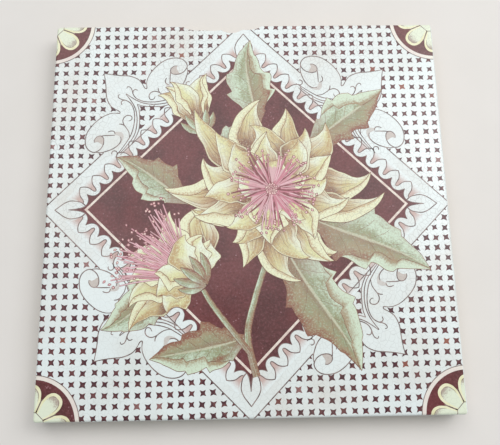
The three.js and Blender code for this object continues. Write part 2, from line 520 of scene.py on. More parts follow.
ANTHER_FINISH = glazed("anther_print", mottled(ANTHER_CREAM, ANTHER_PINK, 900), crazing=0.1, stain=0.05)
INK_FINISH = glazed("petal_outline", mottled(INK_BROWN, INK_FAINT, 450), crazing=0.1, stain=0.05)
RING_FINISH = glazed("rosette_ring", mottled(RING_CREAM, RING_ROSE, 120), crazing=0.2, stain=0.2)
RIM_FINISH = glazed("rosette_rim", mottled(RIM_PALE, RIM_YELLOW, 300), crazing=0.2, stain=0.1)
ROSETTE_FACE_FINISH = glazed("rosette_face", rosette_face_colour, crazing=0.3, stain=0.1)


def build_biscuit(name, soil, bump):
    """Unglazed earthenware: fine pressed grain, pores with painted shade in their pits, and soiled patches.
    """
    material, graph = new_material(name)
    place = graph.place()
    clay = graph.mix(graph.span(graph.noise(place, CLAY_SCALE, 4), 0.35, 0.7), BISCUIT, BISCUIT_TAN)
    patches = graph.span(graph.noise(place, SOIL_SCALE, 5, 0.6), 0.42, 0.72, 0.0, soil)
    soiled = graph.mix(patches, clay, SOIL)
    pores = graph.cells(place, PORE_CELLS)
    # Painted shade: the pits of the pores are darkened in the colour, where the bump sinks them
    pit_shaded = graph.mix(graph.span(pores, 0.05, 0.22, 0.5, 0.0), soiled, PORE_SHADE)
    grain = graph.noise(place, CLAY_GRAIN_SCALE, 3, 0.6)
    relief = graph.math("ADD", graph.math("MULTIPLY", grain, 0.5), graph.span(pores, 0.05, 0.3))
    normal = graph.bump(relief, bump, CLAY_GRAIN_HEIGHT)
    roughness = graph.span(grain, 0.3, 0.7, 0.78, 0.95)
    surface(graph, {"Base Color": pit_shaded, "Roughness": roughness, "Normal": normal})
    return material


BISCUIT_FINISH = build_biscuit("biscuit", soil=0.55, bump=0.5)
FRACTURE_FINISH = build_biscuit("fractured_biscuit", soil=0.25, bump=0.9)


# Flat outlines in millimetres

def smooth(points, steps=6, closed=False):
    """A Catmull-Rom curve through the points."""
    count = len(points)
    result = []
    for i in range(count if closed else count - 1):
        if closed:
            near = [points[(i + k - 1) % count] for k in range(4)]
        else:
            near = [points[min(max(i + k - 1, 0), count - 1)] for k in range(4)]
        for step in range(steps):
            t = step / steps
            result.append(tuple(
                0.5 * (2 * b + (c - a) * t + (2 * a - 5 * b + 4 * c - d) * t ** 2
                       + (3 * b - a - 3 * c + d) * t ** 3)
                for a, b, c, d in zip(*near)))
    if not closed:
        result.append(tuple(points[-1]))
    return result


def mirror(points):
    return [(-x, y) for x, y in points]


def both_halves(points):
    """A closed outline from its right half, walked from the middle line round to the middle line."""
    return points + mirror(points)[::-1]


def over_tip(points):
    """A line from its right half, which ends on the middle line."""
    return points + mirror(points)[::-1][1:]


def through_middle(points):
    """A line from its right half, which starts on the middle line."""
    return mirror(points)[::-1][:-1] + points


def square(half):
    """The square that stands on its corner, in the frame of one of its sides."""
    return [(half, half), (-half, half), (-half, -half), (half, -half)]


def arc(radius, start, end, steps, centre=(0, 0)):
    angles = [start + (end - start) * i / steps for i in range(steps + 1)]
    return [(centre[0] + radius * math.sin(a), centre[1] - radius * math.cos(a)) for a in angles]


def inside(point, outline):
    x, y = point
    crossings = 0
    for (x1, y1), (x2, y2) in zip(outline, outline[1:] + outline[:1]):
        if (y1 > y) != (y2 > y) and x < x1 + (y - y1) * (x2 - x1) / (y2 - y1):
            crossings += 1
    return crossings % 2 == 1


def local_to_side(point):
    """A place as seen from the nearest side of the standing square: along it and outwards."""
    offset = Matrix.Rotation(-EIGHTH_TURN - PRINT_TURN, 2) @ (Vector(point) - Vector(PRINT_CENTRE))
    a, b = offset
    return (b, abs(a)) if abs(a) > abs(b) else (a, abs(b))


# Meshes

def fill(bm, outline, lift, holes=(), depth_of=None):
    """One flat motif, cut out along straight lines between its points."""
    layer = bm.verts.layers.float.get("depth") or bm.verts.layers.float.new("depth")
    loops = [[Vector((x, y, 0)) for x, y in loop] for loop in (outline, *holes)]
    corners = [bm.verts.new((p.x, p.y, lift)) for loop in loops for p in loop]
    if depth_of:
        for corner in corners:
            corner[layer] = depth_of(corner.co)
    for triangle in tessellate_polygon(loops):
        bm.faces.new([corners[i] for i in triangle])


def as_mesh(bm, name="sheet"):
    mesh = bpy.data.meshes.new(name)
    bm.to_mesh(mesh)
    bm.free()
    return mesh


def sheet(outlines, lift, holes=(), depth_of=None):
    """Flat motifs on one level. depth_of gives the depth of the shade at each of their points."""
    bm = bmesh.new()
    for outline in outlines:
        fill(bm, outline, lift, holes, depth_of)
    return as_mesh(bm)


def linked(name, data):
    """A new object in the scene."""
    thing = bpy.data.objects.new(name, data)
    bpy.context.collection.objects.link(thing)
    return thing


def grown(mesh, tree, inputs):
    """The plain mesh that a Geometry Nodes tree makes of a mesh."""
    holder = linked("holder", mesh)
    modifier = holder.modifiers.new("grow", "NODES")
    modifier.node_group = tree
    for item in tree.interface.items_tree:
        if item.in_out == "INPUT" and item.name in inputs:
            modifier[item.identifier] = inputs[item.name]
    evaluated = holder.evaluated_get(bpy.context.evaluated_depsgraph_get())
    result = bpy.data.meshes.new_from_object(evaluated)
    bpy.data.objects.remove(holder)
    return result


def new_tree(name, *inputs):
    """A Geometry Nodes tree that takes a geometry, the inputs given and a material."""
    geometry = ("Geometry", "NodeSocketGeometry", None)
    material = ("Material", "NodeSocketMaterial", None)
    return new_group("GeometryNodeTree", name, (geometry, *inputs, material),
                     [("Geometry", "NodeSocketGeometry")])


def close_tree(graph, source, sink, geometry):
    """Ends a tree: its instances become real and get its material."""
    real = graph.add("GeometryNodeRealizeInstances", {0: geometry})
    coloured = graph.add("GeometryNodeSetMaterial", {"Geometry": real, "Material": source["Material"]})
    graph.tree.links.new(coloured, sink["Geometry"])
    return graph.tree


def build_star_diaper():
    """Small four-pointed stars on the given points, each a little different in size, turn and tone."""
    graph, source, sink = new_tree(
        "star_diaper",
        ("Reach", "NodeSocketFloat", 1.0), ("Waist", "NodeSocketFloat", 0.5),
        ("Turn Spread", "NodeSocketFloat", 0.1), ("Size Spread", "NodeSocketFloat", 0.1),
        ("Seed", "NodeSocketInt", 0))

    def drawn(low, high, shift):
        """A random value for each star. Each shift of the seed gives another row of them."""
        seed = graph.math("ADD", source["Seed"], shift)
        return graph.add("FunctionNodeRandomValue", {2: low, 3: high, "Seed": seed},
                         output=1, data_type="FLOAT")

    def spread(middle, label, shift):
        low = graph.math("SUBTRACT", middle, source[label])
        high = graph.math("ADD", middle, source[label])
        return drawn(low, high, shift)

    outline = graph.add("GeometryNodeCurveStar", {"Points": 4, "Inner Radius": source["Waist"],
                                                  "Outer Radius": source["Reach"]})
    star = graph.add("GeometryNodeFillCurve", {0: outline})
    turn = graph.combine(Z=spread(EIGHTH_TURN, "Turn Spread", 0))
    size = graph.combine(X=spread(1.0, "Size Spread", 1), Y=spread(1.0, "Size Spread", 2), Z=1.0)
    stars = graph.add("GeometryNodeInstanceOnPoints", {"Points": source["Geometry"], "Instance": star,
                                                       "Rotation": turn, "Scale": size})
    named = {"Geometry": stars, "Name": "tone", "Value": drawn(0.0, 1.0, 9)}
    toned = graph.add("GeometryNodeStoreNamedAttribute", named, data_type="FLOAT", domain="INSTANCE")
    return close_tree(graph, source, sink, toned)


def build_side_repeat():
    """Copies of a unit, evenly spaced along each side of a square and turned with the side."""
    graph, source, sink = new_tree(
        "side_repeat",
        ("Copies", "NodeSocketInt", 1), ("Pitch", "NodeSocketFloat", 1.0),
        ("Start Turn", "NodeSocketFloat", 0.0), ("Centre", "NodeSocketVector", (0, 0, 0)))
    spans = graph.math("SUBTRACT", source["Copies"], 1.0)
    first = graph.math("MULTIPLY", graph.math("MULTIPLY", spans, source["Pitch"]), -0.5)
    places = {"Count": source["Copies"], "Start Location": graph.combine(X=first),
              "Offset": graph.combine(X=source["Pitch"])}
    row = graph.add("GeometryNodeMeshLine", places)
    side = graph.add("GeometryNodeInstanceOnPoints", {"Points": row, "Instance": source["Geometry"]})
    sides = graph.node("GeometryNodeJoinGeometry", {})
    for quarter in range(4):
        turn = graph.math("ADD", source["Start Turn"], quarter * QUARTER_TURN)
        turned = graph.add("GeometryNodeTransform", {"Geometry": side, "Translation": source["Centre"],
                                                     "Rotation": graph.combine(Z=turn)})
        graph.tree.links.new(turned, sides.inputs[0])
    return close_tree(graph, source, sink, sides.outputs[0])


def build_drawn_lines():
    """Flat strokes along chains of edges, as wide as each point's half_width says."""
    graph, source, sink = new_tree("drawn_lines")
    chains = graph.add("GeometryNodeMeshToCurve", {0: source["Geometry"]})
    flat = graph.add("GeometryNodeSetCurveNormal", {0: chains}, mode="Z_UP")
    nib = graph.add("GeometryNodeCurvePrimitiveLine", {"Start": (-1, 0, 0), "End": (1, 0, 0)})
    width = graph.add("GeometryNodeInputNamedAttribute", {"Name": "half_width"}, data_type="FLOAT")
    strokes = graph.add("GeometryNodeCurveToMesh", {"Curve": flat, "Profile Curve": nib, "Scale": width})
    return close_tree(graph, source, sink, strokes)


STAR_DIAPER = build_star_diaper()
SIDE_REPEAT = build_side_repeat()
DRAWN_LINES = build_drawn_lines()


class Drawing:
    """Strokes that the drawn_lines tree turns into flat lines. Those that cross never lie quite level."""

    LEVELS = 4
    LEVEL_STEP = 0.0001
    TAPER_POWER = 3

    def __init__(self):
        self.bm = bmesh.new()
        self.bm.verts.layers.float.new("half_width")
        self.bm.verts.layers.float.new("tone")
        self.strokes = 0

    def stroke(self, points, lift, width=LINE_WIDTH, taper=0.35, tone=0.5):
        """One line, thinner at its ends by the taper."""
        lift += self.strokes % self.LEVELS * self.LEVEL_STEP
        self.strokes += 1
        layers = self.bm.verts.layers.float
        corners = []
        last = len(points) - 1
        for i, (x, y) in enumerate(points):
            corner = self.bm.verts.new((x, y, lift))
            press = 1 - taper * abs(2 * i / last - 1) ** self.TAPER_POWER
            corner[layers["half_width"]] = width * press / 2
            corner[layers["tone"]] = tone
            corners.append(corner)
        for pair in zip(corners, corners[1:]):
            self.bm.edges.new(pair)

    def mesh(self, material):
        return grown(as_mesh(self.bm), DRAWN_LINES, {"Material": material})


class Break:
    """A chipped stretch of the top edge, made of shell-shaped scoops.

    Places near it are given as along the edge and outwards from its middle. Each scoop is its place,
    its half length, its bite across the face and its drop down the side.
    """

    STEP = 0.25
    MARGIN = 0.6
    SPARE = 2.0
    PROFILE_STEPS = 14
    LEAST_FACE = 0.0001

    # Raggedness of the edge, coarse and fine: its depth, its waves per millimetre and a place in the noise
    RAGS = ((0.16, 1.1, 5.0), (0.09, 4.1, 8.0))

    # Coarse and fine roughness of the broken shell, and the ripples that run round it
    COARSE_DEPTH = 0.45
    COARSE_ALONG = 0.5
    COARSE_DOWN = 0.6
    FINE_DEPTH = 0.16
    FINE_SCALE = 2.3
    RIPPLE_DEPTH = 0.07
    RIPPLES = 14
    RIPPLE_DRIFT = 0.4

    def __init__(self, middle, outwards, scoops):
        self.middle = Vector(middle)
        self.outwards = Vector(outwards).normalized()
        self.along = Vector((self.outwards.y, -self.outwards.x))
        self.scoops = scoops
        self.start = min(place - half for place, half, bite, drop in scoops) - self.MARGIN
        self.end = max(place + half for place, half, bite, drop in scoops) + self.MARGIN
        self.deepest = max(bite for place, half, bite, drop in scoops) + self.MARGIN

    def local(self, x, y):
        offset = Vector((x, y)) - self.middle
        return offset.dot(self.along), offset.dot(self.outwards)

    def world(self, u, w, z):
        place = self.middle + self.along * u + self.outwards * w
        return Vector((place.x, place.y, z))

    def swell(self, u):
        """How fully each scoop bites at u, from 0 at its ends to 1 at its middle."""
        return [math.sqrt(max(1 - ((u - place) / half) ** 2, 0)) for place, half, bite, drop in self.scoops]

    def bite(self, u):
        """How far the face has gone at u. Below nothing where the edge is whole."""
        reach = max(share * scoop[2] for share, scoop in zip(self.swell(u), self.scoops))
        ragged = sum(depth * noise.noise(Vector((u * waves, row, 0))) for depth, waves, row in self.RAGS)
        return reach + ragged * min(reach, 1) if reach > 0 else -self.MARGIN

    def drop(self, u):
        return max(share * scoop[3] for share, scoop in zip(self.swell(u), self.scoops))

    def cutter(self, material_index):
        """The broken-out volume, with the rough shell of the break on its inner side."""
        bm = bmesh.new()
        count = math.ceil((self.end - self.start) / self.STEP)
        rings = []
        for station in range(count + 1):
            u = self.start + (self.end - self.start) * station / count
            bite = self.bite(u)
            drop = self.drop(u)
            ring = [self.world(u, -bite, TOP + self.SPARE)]
            for step in range(self.PROFILE_STEPS + 1):
                angle = step / self.PROFILE_STEPS * QUARTER_TURN
                w = -bite * math.cos(angle)
                z = FACE_Z - drop * math.sin(angle)
                spot = Vector((u * self.COARSE_ALONG, w, z * self.COARSE_DOWN))
                coarse = self.COARSE_DEPTH * noise.noise(spot)
                fine = self.FINE_DEPTH * noise.noise(Vector((u, w, z)) * self.FINE_SCALE)
                ripple = self.RIPPLE_DEPTH * math.sin(self.RIPPLES * angle + u * self.RIPPLE_DRIFT)
                depth = (coarse + fine + ripple) * math.sin(angle) * min(max(bite, 0), 1)
                ring.append(self.world(u, w - depth * math.cos(angle), z - depth * math.sin(angle)))
            foot = ring[-1].z
            ring += [self.world(u, self.SPARE, foot), self.world(u, self.SPARE, TOP + self.SPARE)]
            rings.append(ring)
        loft(bm, rings)
        bmesh.ops.recalc_face_normals(bm, faces=bm.faces[:])
        for face in bm.faces:
            face.material_index = material_index
        return as_mesh(bm, "cutter")

    def trim(self, bm):
        """Draws a flat sheet back to the line of the break."""
        def reaches(face):
            spots = [self.local(v.co.x, v.co.y) for v in face.verts]
            return (max(w for u, w in spots) > -self.deepest and max(u for u, w in spots) > self.start
                    and min(u for u, w in spots) < self.end)

        def sliced(near, spot, direction):
            return bmesh.ops.bisect_plane(bm, geom=near, plane_co=spot, plane_no=(*direction, 0))["geom"]

        faces = [face for face in bm.faces if reaches(face)]
        if not faces:
            return
        near = list({part for face in faces for part in (face, *face.edges, *face.verts)})
        near = sliced(near, self.world(0, -self.deepest, 0), self.outwards)
        for station in range(math.ceil((self.end - self.start) / self.STEP) + 1):
            near = sliced(near, self.world(self.start + station * self.STEP, 0, 0), self.along)
        for corner in bm.verts:
            u, w = self.local(corner.co.x, corner.co.y)
            if self.start < u < self.end and w > -self.bite(u):
                corner.co = self.world(u, -self.bite(u), corner.co.z)
        gone = [face for face in bm.faces if face.calc_area() < self.LEAST_FACE]
        bmesh.ops.delete(bm, geom=gone, context="FACES")


CORNER_MIDDLE = FACE_HALF - CORNER_RADIUS * (1 - math.sqrt(0.5))
BREAKS = (
    Break((0, FACE_HALF), (0, 1),
          ((-18.4, 6.8, 2.2, 4.2), (-13.2, 8.4, 2.3, 4.8), (-5.6, 5.2, 3.4, 6.2), (0.4, 6.2, 2.1, 3.9))),
    Break((-CORNER_MIDDLE, CORNER_MIDDLE), (-1, 1), ((0.4, 1.3, 0.75, 1.6),)),
)


def edge_depth(x, y):
    """How far a place lies inside the slab's outline, which has rounded corners."""
    reach = FACE_HALF - CORNER_RADIUS
    over_x = abs(x) - reach
    over_y = abs(y) - reach
    if over_x > 0 and over_y > 0:
        return CORNER_RADIUS - math.hypot(over_x, over_y)
    return FACE_HALF - max(abs(x), abs(y))


def face_height(x, y):
    depth = min(max(edge_depth(x, y), 0), ARRIS)
    return FACE_Z - ARRIS + math.sqrt(ARRIS ** 2 - (ARRIS - depth) ** 2)


def print_limits():
    """Ways outwards across the edge, each with the slab's reach and how far short of it the print stops."""
    core = FACE_HALF - CORNER_RADIUS
    for quarter, side_stop in enumerate(PRINT_STOPS):
        for share in CORNER_SHARES:
            angle = (quarter + share) * QUARTER_TURN
            outwards = Vector((math.cos(angle), math.sin(angle), 0))
            reach = core * (abs(outwards.x) + abs(outwards.y)) + CORNER_RADIUS
            yield outwards, reach, CORNER_STOP if share else side_stop


def drape(bm):
    """Trims motifs to the end of the print and to the breaks, and lays them over the rounded edge."""
    for outwards, reach, stop in print_limits():
        if max((outwards.dot(v.co) for v in bm.verts), default=0) < reach - ARRIS:
            continue
        for inset in (stop, *(inset for inset in ARRIS_INSETS if inset > stop)):
            geometry = bm.verts[:] + bm.edges[:] + bm.faces[:]
            bmesh.ops.bisect_plane(bm, geom=geometry, plane_co=outwards * (reach - inset),
                                   plane_no=outwards, clear_outer=inset == stop)
    for chip in BREAKS:
        chip.trim(bm)
    for vertex in bm.verts:
        vertex.co.z += face_height(vertex.co.x, vertex.co.y)


def print_piece(name, mesh, material=None):
    """A finished printed piece: trimmed, draped, facing up and placed in metres."""
    bm = bmesh.new()
    bm.from_mesh(mesh)
    drape(bm)
    bm.normal_update()
    bmesh.ops.reverse_faces(bm, faces=[face for face in bm.faces if face.normal.z < 0])
    for vertex in bm.verts:
        vertex.co *= MM
    bm.to_mesh(mesh)
    bm.free()
    if material:
        mesh.materials.clear()
        mesh.materials.append(material)
    mesh.name = name
    piece = linked(name, mesh)
    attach(piece, "root")


def repeated(mesh, material, copies=1, pitch=0.0, start=EIGHTH_TURN - QUARTER_TURN + PRINT_TURN):
    """A unit on each of the four sides. Its Y runs outwards."""
    return grown(mesh, SIDE_REPEAT, {"Copies": copies, "Pitch": pitch, "Start Turn": start,
                                     "Centre": (*PRINT_CENTRE, 0.0), "Material": material})


def print_lines(name, drawing, **layout):
    """A drawing as fine lines on each of the four sides."""
    print_piece(name, repeated(drawing.mesh(LINE_FINISH), LINE_FINISH, **layout))


def standing_square(half, lift, hole=None):
    """A square that stands on its corner, with a hole in its middle where one is given."""
    mesh = sheet([square(half)], lift, holes=[square(hole)] if hole else ())
    turn = Matrix.Rotation(EIGHTH_TURN + PRINT_TURN, 4, "Z")
    mesh.transform(Matrix.Translation((*PRINT_CENTRE, 0)) @ turn)
    return mesh


# Scroll fleurons: one on each side of the standing square, drawn as right halves
LEAF_TIP = [(0, 78.6), (2.1, 75.6), (4.2, 73), (6, 70.9), (7.2, 68.6), (7.7, 66.4), (7.3, 64.1), (7, 62.2)]
SCROLL_BACK = [(7, 62.2), (7.8, 62.3), (8.5, 63.2), (10, 64.4), (12.4, 65.4), (15.3, 65.85), (18.6, 65.8),
               (21.8, 65), (24.3, 63.3), (25.7, 61.4), (26.1, 59.7), (25.8, 58.1), (24.9, 57)]
SCROLL_CURL = [(24.9, 57), (23.1, 56.5), (21.3, 56.8), (19.8, 57.7), (18.8, 59), (18.9, 60.3),
               (20.1, 61.1), (21.7, 60.9), (22.5, 60.1)]
SCROLL_UNDERSIDE = [(24.9, 57), (23.5, 55.3), (21.5, 54.1), (19.4, 53.2), (17, 52.8), (14.9, 53.3),
                    (13.8, 54.6)]
FLEURON_FOOT = [(23.5, 55.3), (22.8, BAND_EDGE)]
SCROLL_EYE = SCROLL_CURL[4:] + [(21.6, 59.5), (21.2, 58.6), (20.9, 57.3), (19.8, 57.7)]
SCROLL_EYE_DEPTH = 0.72
CRESCENT_DEPTH = 0.6
WINDOW = [(0, 59.4), (1.2, 57.1), (3.9, 53.9), (6.6, 51.5), (10, 49.9), (12.5, 49.3)]
CRESCENT_OUTER = [(14.2, 57.8), (12.6, 56.2), (12.3, 54.9), (13.2, 53.6), (14.6, 52.9), (16.3, 52.5)]
CRESCENT_INNER = [(16.3, 52.8), (14.9, 53.5), (14.1, 54.5), (14.2, 55.7), (14.8, 56.9)]
FLEURON_LINES = (
    LEAF_TIP[:-1],
    SCROLL_BACK[2:] + SCROLL_CURL[1:],
    SCROLL_UNDERSIDE,
    [(7.3, 64.1), (6.9, 62.6), (7.2, 61.9), (7.7, 62.2), (8.5, 63.2)],
    [(19, 60.3), (17.6, 59.2), (14.9, 56.6)],
    [(15.9, 59.5), (14.8, 59), (14.1, 58), (14.5, 56.9)],
    [(1.8, 67.5), (2.6, 67.8), (3.1, 66.9), (2.8, 65.6), (1.9, 64), (1.5, 61.9), (2.4, 59.2), (4.3, 56.7),
     (6.9, 54.4), (10.5, 52.3), (14.3, 51.2), (18.9, 50.4), (21, 49.9)],
    [(4.3, 63.8), (3.8, 64.8), (2.8, 64.9), (2, 64.2)],
    [(0.1, 66.1), (0.5, 63.4), (1.1, 60.7), (2.4, 57.8), (4.6, 55), (8, 52.2), (11.6, 50.7), (18.8, 49.8)],
    [(0, 59.7), (1.2, 57.4), (3.9, 54.3), (6.6, 51.8), (10, 50.2), (12.5, 49.5)],
    [(7.2, 57.1), (6.2, 56.7), (5.3, 57.1), (5.1, 58), (5.9, 59.1), (7.3, 59.4), (8.7, 58.7), (9.5, 57.2),
     (9.8, 55.5), (10.3, 53.7), (11.6, 51.9)],
    [(10.6, 58.8), (9.9, 57.9), (9.7, 57)],
    [(19.4, 50.3), (19.1, 51.6), (19.9, 52.4), (20.8, 52.2), (21, 51.7)],
    [(2.3, 49.3), (7, 49.3), (12.5, 49.3), (19, 49.3)],
)


def fleuron_outline():
    right = smooth(LEAF_TIP) + smooth(SCROLL_BACK)[1:] + FLEURON_FOOT
    return both_halves(right)


# Folded ribbon round the field, half of one fold: outwards edge, then the edge towards the field
FOLD_CREST = [(0, 50.7), (0.9, 50.1), (1.7, 49.2), (2.25, 48.2), (2.45, 47.1), (2.6, 46.3), (2.85, 45.7),
              (3.21, 45.5)]
FOLD_FOOT = [(0, 46.95), (0.45, 45.9), (1.1, 44.95), (1.9, 44.35), (2.7, 44.1), (3.21, 44.05)]
SHADE_TOP = 51.3
SHADE_FULL = 47.2
SHADE_TUCK = 0.2

# Pointed bud at each corner of the standing square, as a right half with its Y through the corner
BUD_SIDE = [(1.4, 60.8), (2.6, 62.1), (3.1, 63.4), (3.4, 65), (3.4, 66.7), (2.6, 68.7), (1.3, 70.5),
            (0, 72.2)]
BUD_NOTCH = [(0, 67.2), (0.25, 64.6), (0.7, 62.3), (1.4, 60.8)]


def stretched(star):
    """Where a star came to lie on the stretched paper."""
    slips = [Vector(slip) * math.exp(-((star - Vector(middle)).length / reach) ** 2)
             for middle, reach, slip in STRETCHES]
    return sum(slips, star)


def stars_mesh():
    """The places of the stars, without those that the frame, the fleurons and the rosettes hide."""
    fleuron = fleuron_outline()
    window = both_halves(WINDOW)
    turn = Matrix.Rotation(PRINT_TURN, 2)
    unsteady = random.Random(SEED)
    bm = bmesh.new()
    middle = (STARS_PER_SIDE - 1) / 2
    for row in range(STARS_PER_SIDE):
        for column in range(STARS_PER_SIDE):
            step = Vector(((column - middle) * COLUMN_PITCH, (row - middle) * ROW_PITCH))
            slip = Vector((unsteady.gauss(0, STAR_WANDER), unsteady.gauss(0, STAR_WANDER)))
            star = stretched(Vector(STAR_CENTRE) + turn @ step + slip)
            along, outwards = local_to_side(star)
            in_window = inside((along, outwards), window)
            tips = [(along + dx, outwards + dy) for dx in (-STAR_WAIST, STAR_WAIST)
                    for dy in (-STAR_WAIST, STAR_WAIST)]
            hidden = outwards < BAND_EDGE - STAR_REACH or all(inside(tip, fleuron) for tip in tips)
            corner_distance = math.hypot(along, CORNER_REACH - outwards)
            if corner_distance < ROSETTE_RING - STAR_WAIST or (hidden and not in_window):
                continue
            bm.verts.new((*star, LIFT["window_stars" if in_window else "stars"]))
    return as_mesh(bm)


def starred(points, reach, waist, turn_spread, size_spread, material):
    return grown(points, STAR_DIAPER, {
        "Reach": reach, "Waist": waist, "Turn Spread": turn_spread, "Size Spread": size_spread,
        "Seed": SEED, "Material": material})


def make_stars():
    stars = starred(stars_mesh(), STAR_REACH, STAR_WAIST, STAR_TURN_SPREAD, STAR_SIZE_SPREAD, STAR_FINISH)
    print_piece("star_diaper", stars)


def make_reserves():
    """Plain ground where the frame and the fleurons cover the stars."""
    fleuron = sheet([fleuron_outline()], LIFT["reserve"])
    print_piece("fleuron_grounds", repeated(fleuron, GROUND_FINISH))
    band = standing_square(BAND_EDGE, LIFT["reserve"], hole=FIELD_EDGE)
    print_piece("plain_band", band, GROUND_FINISH)


def make_field():
    field = standing_square(STRIP_EDGE, LIFT["field"])
    print_piece("maroon_field", field, FIELD_FINISH)
    cream = standing_square(CREAM_EDGE, LIFT["shade"], hole=FIELD_EDGE)
    print_piece("cream_line", cream, CREAM_FINISH)


def make_ribbon():
    crest = smooth(FOLD_CREST, 3)
    half = FOLD_PITCH / 2
    left = [(-(half - x), y - SHADE_TUCK) for x, y in crest]
    right = [(half - x, y - SHADE_TUCK) for x, y in reversed(crest)]
    pocket = left + right + [(half, SHADE_TOP), (-half, SHADE_TOP)]

    def depth(spot):
        return min(max((SHADE_TOP - spot.y) / (SHADE_TOP - SHADE_FULL), 0), 1)

    pockets = sheet([pocket], LIFT["shade"], depth_of=depth)
    shade = repeated(pockets, SHADE_FINISH, FOLDS_PER_SIDE + 1, FOLD_PITCH)
    print_piece("ribbon_shade", shade)
    whole_crest = through_middle(crest)
    whole_foot = through_middle(smooth(FOLD_FOOT, 3))
    fold = sheet([whole_crest + whole_foot[::-1]], LIFT["ribbon"])
    ribbon = repeated(fold, GROUND_FINISH, FOLDS_PER_SIDE, FOLD_PITCH)
    print_piece("folded_ribbon", ribbon)
    drawing = Drawing()
    drawing.stroke(whole_crest, LIFT["line"], LINE_WIDTH, 0)
    drawing.stroke(whole_foot, LIFT["line"], THIN_LINE, 0)
    print_lines("ribbon_lines", drawing, copies=FOLDS_PER_SIDE, pitch=FOLD_PITCH)


def make_buds():
    side = over_tip(smooth(BUD_SIDE))
    notch = smooth(BUD_NOTCH)
    bud = sheet([side + through_middle(notch)[1:-1]], LIFT["bud"])
    print_piece("corner_buds", repeated(bud, GROUND_FINISH, start=PRINT_TURN))
    drawing = Drawing()
    drawing.stroke(side, LIFT["line"], LINE_WIDTH, 0)
    drawing.stroke(notch, LIFT["line"])
    drawing.stroke(mirror(notch), LIFT["line"])
    print_lines("corner_bud_lines", drawing, start=PRINT_TURN)


def make_fleuron_lines():
    drawing = Drawing()
    for half in FLEURON_LINES:
        curve = smooth(half, 5)
        drawing.stroke(curve, LIFT["line"])
        drawing.stroke(mirror(curve), LIFT["line"])
    for sign in (-1, 1):
        edge = [(sign * FLEURON_FOOT[-1][0], BAND_EDGE), (sign * BAND_EDGE, BAND_EDGE)]
        drawing.stroke(edge, LIFT["line"], LINE_WIDTH, 0)
    print_lines("fleuron_lines", drawing)
    eye = smooth(SCROLL_EYE, closed=True)
    crescent = smooth(CRESCENT_OUTER) + smooth(CRESCENT_INNER)
    bm = bmesh.new()
    for outline, depth in ((eye, SCROLL_EYE_DEPTH), (crescent, CRESCENT_DEPTH)):
        for side in (outline, mirror(outline)):
            fill(bm, side, LIFT["outline"], depth_of=lambda spot, depth=depth: depth)
    print_piece("fleuron_shade", repeated(as_mesh(bm), SCROLL_SHADE_FINISH))


# Quarter rosettes in the corners, drawn with their Y running out to a centre just off the corner of
# the slab. A petal is its place across and its distance from that centre, as a right half.
CORNER_REACH = ROSETTE_SPREAD * math.sqrt(2)
ROSETTE_CENTRE = (0, CORNER_REACH)
ROSETTE_SWEEP = math.radians(52)
ROSETTE_PETAL = [(1.7, 4.4), (2.7, 6.6), (3.15, 8), (3.35, 10.2), (3.2, 11.4), (2.6, 12.7), (1.5, 13.6),
                 (0, 13.9)]
ROSETTE_FACE = [(1.2, 4.5), (1.8, 6.4), (2.25, 8), (2.45, 9.6), (2.3, 10.9), (1.7, 12), (0.9, 12.55),
                (0, 12.7)]
ROSETTE_UNDERLAP = 1
ROSETTE_GAP_END = 9.6
ROSETTE_GAP_DOT = 5.5
ROSETTE_GAP_TUCK = 0.2
GAP_LINE = LINE_WIDTH * 1.2
GAP_DOT_WIDTH = LINE_WIDTH * 2.2


def ring_part(outer, inner):
    """The part of a ring round a rosette's centre that lies on the slab."""
    return (arc(outer, -ROSETTE_SWEEP, ROSETTE_SWEEP, 36, ROSETTE_CENTRE)
            + arc(inner, ROSETTE_SWEEP, -ROSETTE_SWEEP, 36, ROSETTE_CENTRE))


def on_spokes(points, turns):
    """Copies of a shape drawn out from a rosette's centre, at turns from the diagonal of the slab."""
    return [[(x * math.cos(turn) + y * math.sin(turn),
              CORNER_REACH + x * math.sin(turn) - y * math.cos(turn)) for x, y in points] for turn in turns]


